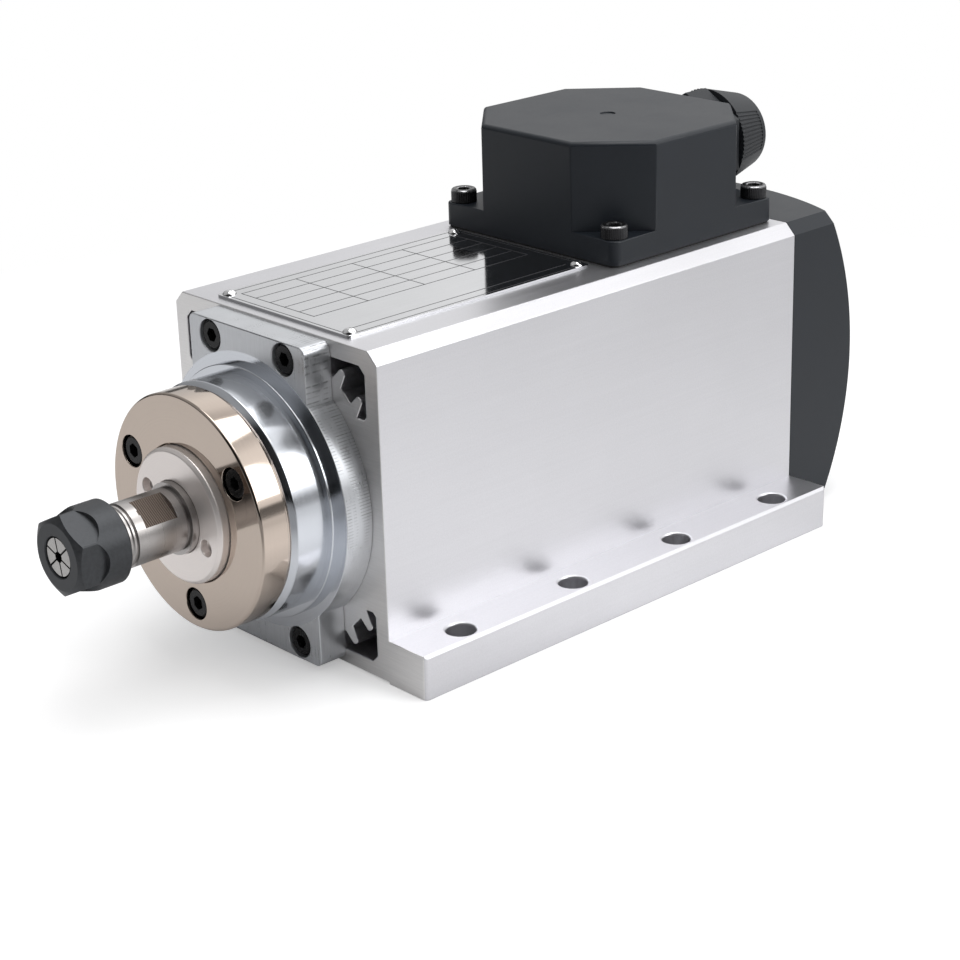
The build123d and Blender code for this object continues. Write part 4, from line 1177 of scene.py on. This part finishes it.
@dataclass(frozen=True)
class Camera:
    """The camera that took the picture."""

    turn: float = 47.396
    rise: float = 21.455
    roll: float = -1.658
    place: Point = (397.93, -373.38, 234.80)
    lens: float = 86.12
    sensor: float = 36.0

    def build(self) -> None:
        """Adds the camera and makes it the scene's."""
        turn, rise, roll = (math.radians(angle) for angle in (self.turn, self.rise, self.roll))
        back = Vector((math.sin(turn) * math.cos(rise), -math.cos(turn) * math.cos(rise), math.sin(rise)))
        right = Vector((math.cos(turn), math.sin(turn), 0.0))
        up = back.cross(right)
        across = right * math.cos(roll) + up * math.sin(roll)
        upward = up * math.cos(roll) - right * math.sin(roll)
        data = bpy.data.cameras.new("camera")
        data.lens, data.sensor_width = self.lens, self.sensor
        matrix = Matrix((across, upward, back)).transposed().to_4x4()
        matrix.translation = Vector(self.place) * MM
        made = add_object("camera", data)
        made.matrix_world = matrix
        bpy.context.scene.camera = made


@dataclass
class Studio:
    """Pale floor, soft lamps and a white surround."""

    floor_reach: float = 3000.0
    floor_colour: Colour = (0.86, 0.86, 0.865)
    floor_lift: float = 0.35
    white_from: Pair = (130.0, 330.0)
    panel_side: Point = (0.737, 0.676, 0.0)
    diffuse_level: float = 0.55
    heights: tuple[Pair, ...] = (
        (0.0, 0.2), (0.1, 0.12), (0.14, 0.9), (0.45, 1.05), (0.62, 1.12), (0.73, 1.05), (0.8, 0.7), (0.9, 0.75),
        (1.0, 0.75),
    )
    sides: tuple[Pair, ...] = ((0.0, 0.2), (0.3, 0.5), (0.46, 0.98), (0.75, 1.1), (1.0, 1.22))
    dark_side: Point = (0.55, -0.835, 0.0)
    dark_from: Pair = (0.4, 0.62)
    dark_level: float = 0.03
    floor_far: tuple[Pair, ...] = ((0.1, 0.95), (0.36, 0.88), (0.48, 1.14), (0.64, 1.06), (0.94, 0.8))
    floor_span: Pair = (-200.0, 300.0)
    floor_front: Pair = (130.0, 220.0)
    floor_front_level: float = 0.45
    lamps: tuple[Lamp, ...] = (
        Lamp("top_lamp", (60.0, 120.0, 900.0), (0.0, 0.0, 60.0), 700.0, 700.0, 4.2),
        Lamp("right_lamp", (800.0, 300.0, 500.0), (0.0, 0.0, 40.0), 500.0, 500.0, 2.0),
    )

    def build(self) -> None:
        """Sets up the camera, surround, floor and lamps."""
        Camera().build()
        bpy.context.scene.view_settings.view_transform = "Standard"
        self.surround()
        self.floor()
        for lamp in self.lamps:
            lamp.build()
        LOG.info("studio: %d lamps", len(self.lamps))

    def surround(self) -> None:
        """White to the camera, and to reflections a bright panel behind the object above a dark horizon."""
        world = bpy.data.worlds.new("surround")
        world.use_nodes = True
        bpy.context.scene.world = world
        world.node_tree.nodes.clear()
        nodes = Nodes(world.node_tree)
        direction = nodes.wire("TexCoord", output="Generated")
        _, _, rise = nodes.split(direction)
        side = nodes.span(nodes.dot(direction, self.panel_side), -1.0, 1.0)
        dark = nodes.span(nodes.dot(direction, self.dark_side), *self.dark_from, 1.0, self.dark_level)
        mirrored = nodes.product(nodes.greys(rise, self.heights), nodes.greys(side, self.sides), dark)
        plain, white = (self.diffuse_level,) * 3 + (1.0,), (1.0, 1.0, 1.0, 1.0)
        shaders = [nodes.wire("Background", {"Color": colour}) for colour in (plain, mirrored, white)]
        reflected = nodes.mixed_shaders(nodes.wire("LightPath", output="Is Glossy Ray"), shaders[0], shaders[1])
        shown = nodes.mixed_shaders(nodes.wire("LightPath", output="Is Camera Ray"), reflected, shaders[2])
        nodes.feed(world.node_tree.nodes.new("ShaderNodeOutputWorld").inputs["Surface"], shown)

    def floor(self) -> None:
        """A pale floor that keeps the object's shadow near it and turns plain white further out."""
        data = bpy.data.meshes.new("floor")
        mesh = bmesh.new()
        bmesh.ops.create_grid(mesh, x_segments=8, y_segments=8, size=self.floor_reach * MM)
        mesh.to_mesh(data)
        mesh.free()
        made = add_object("floor", data)
        data.materials.append(self.floor_finish())

    def floor_finish(self) -> bpy.types.Material:
        """The floor's finish, with its own levels for reflections and a white glow to the camera.

        Returns:
            The material.
        """
        graph = Graph("pale_floor")
        camera_ray = graph.wire("LightPath", output="Is Camera Ray")
        tone = graph.noise(graph.place(), 0.02, detail=3.0)
        along = graph.span(graph.dot(graph.place(), self.panel_side), *self.floor_span)
        fade = graph.span(graph.dot(graph.place(), self.dark_side), *self.floor_front, 1.0, self.floor_front_level)
        mirrored = graph.product(graph.greys(along, self.floor_far), fade)
        level = graph.pick(graph.wire("LightPath", output="Is Glossy Ray"), 1.0, mirrored)
        graph.feed_shader(
            base_color=graph.scaled(graph.tint(tone, self.floor_colour, 0.99, 1.0), level),
            roughness=0.8, specular_ior_level=0.1,
        )
        glow = graph.wire("Emission", {"Strength": graph.product(camera_ray, self.floor_lift)})
        near = graph.wire("AddShader", {0: graph.shader.outputs[0], 1: glow})
        distance = graph.wire("VectorMath", {0: graph.place()}, "Value", operation="LENGTH")
        far = graph.product(graph.span(distance, *self.white_from), camera_ray)
        shown = graph.mixed_shaders(far, near, graph.wire("Emission"))
        graph.feed(graph.tree.nodes["Material Output"].inputs["Surface"], shown)
        return graph.material


def main() -> None:
    """Dresses each sub-assembly in turn and sets up the studio."""
    logging.basicConfig(level=logging.INFO, format="%(name)s: %(message)s")
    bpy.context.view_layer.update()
    for assembly in (
        MotorHousing(), FrontBearingHousing(), Chuck(), Motor(), RearCover(), TerminalBox(), CableGland(),
        Nameplate(),
    ):
        assembly.dress()
    Studio().build()


if __name__ == "__main__":
    main()
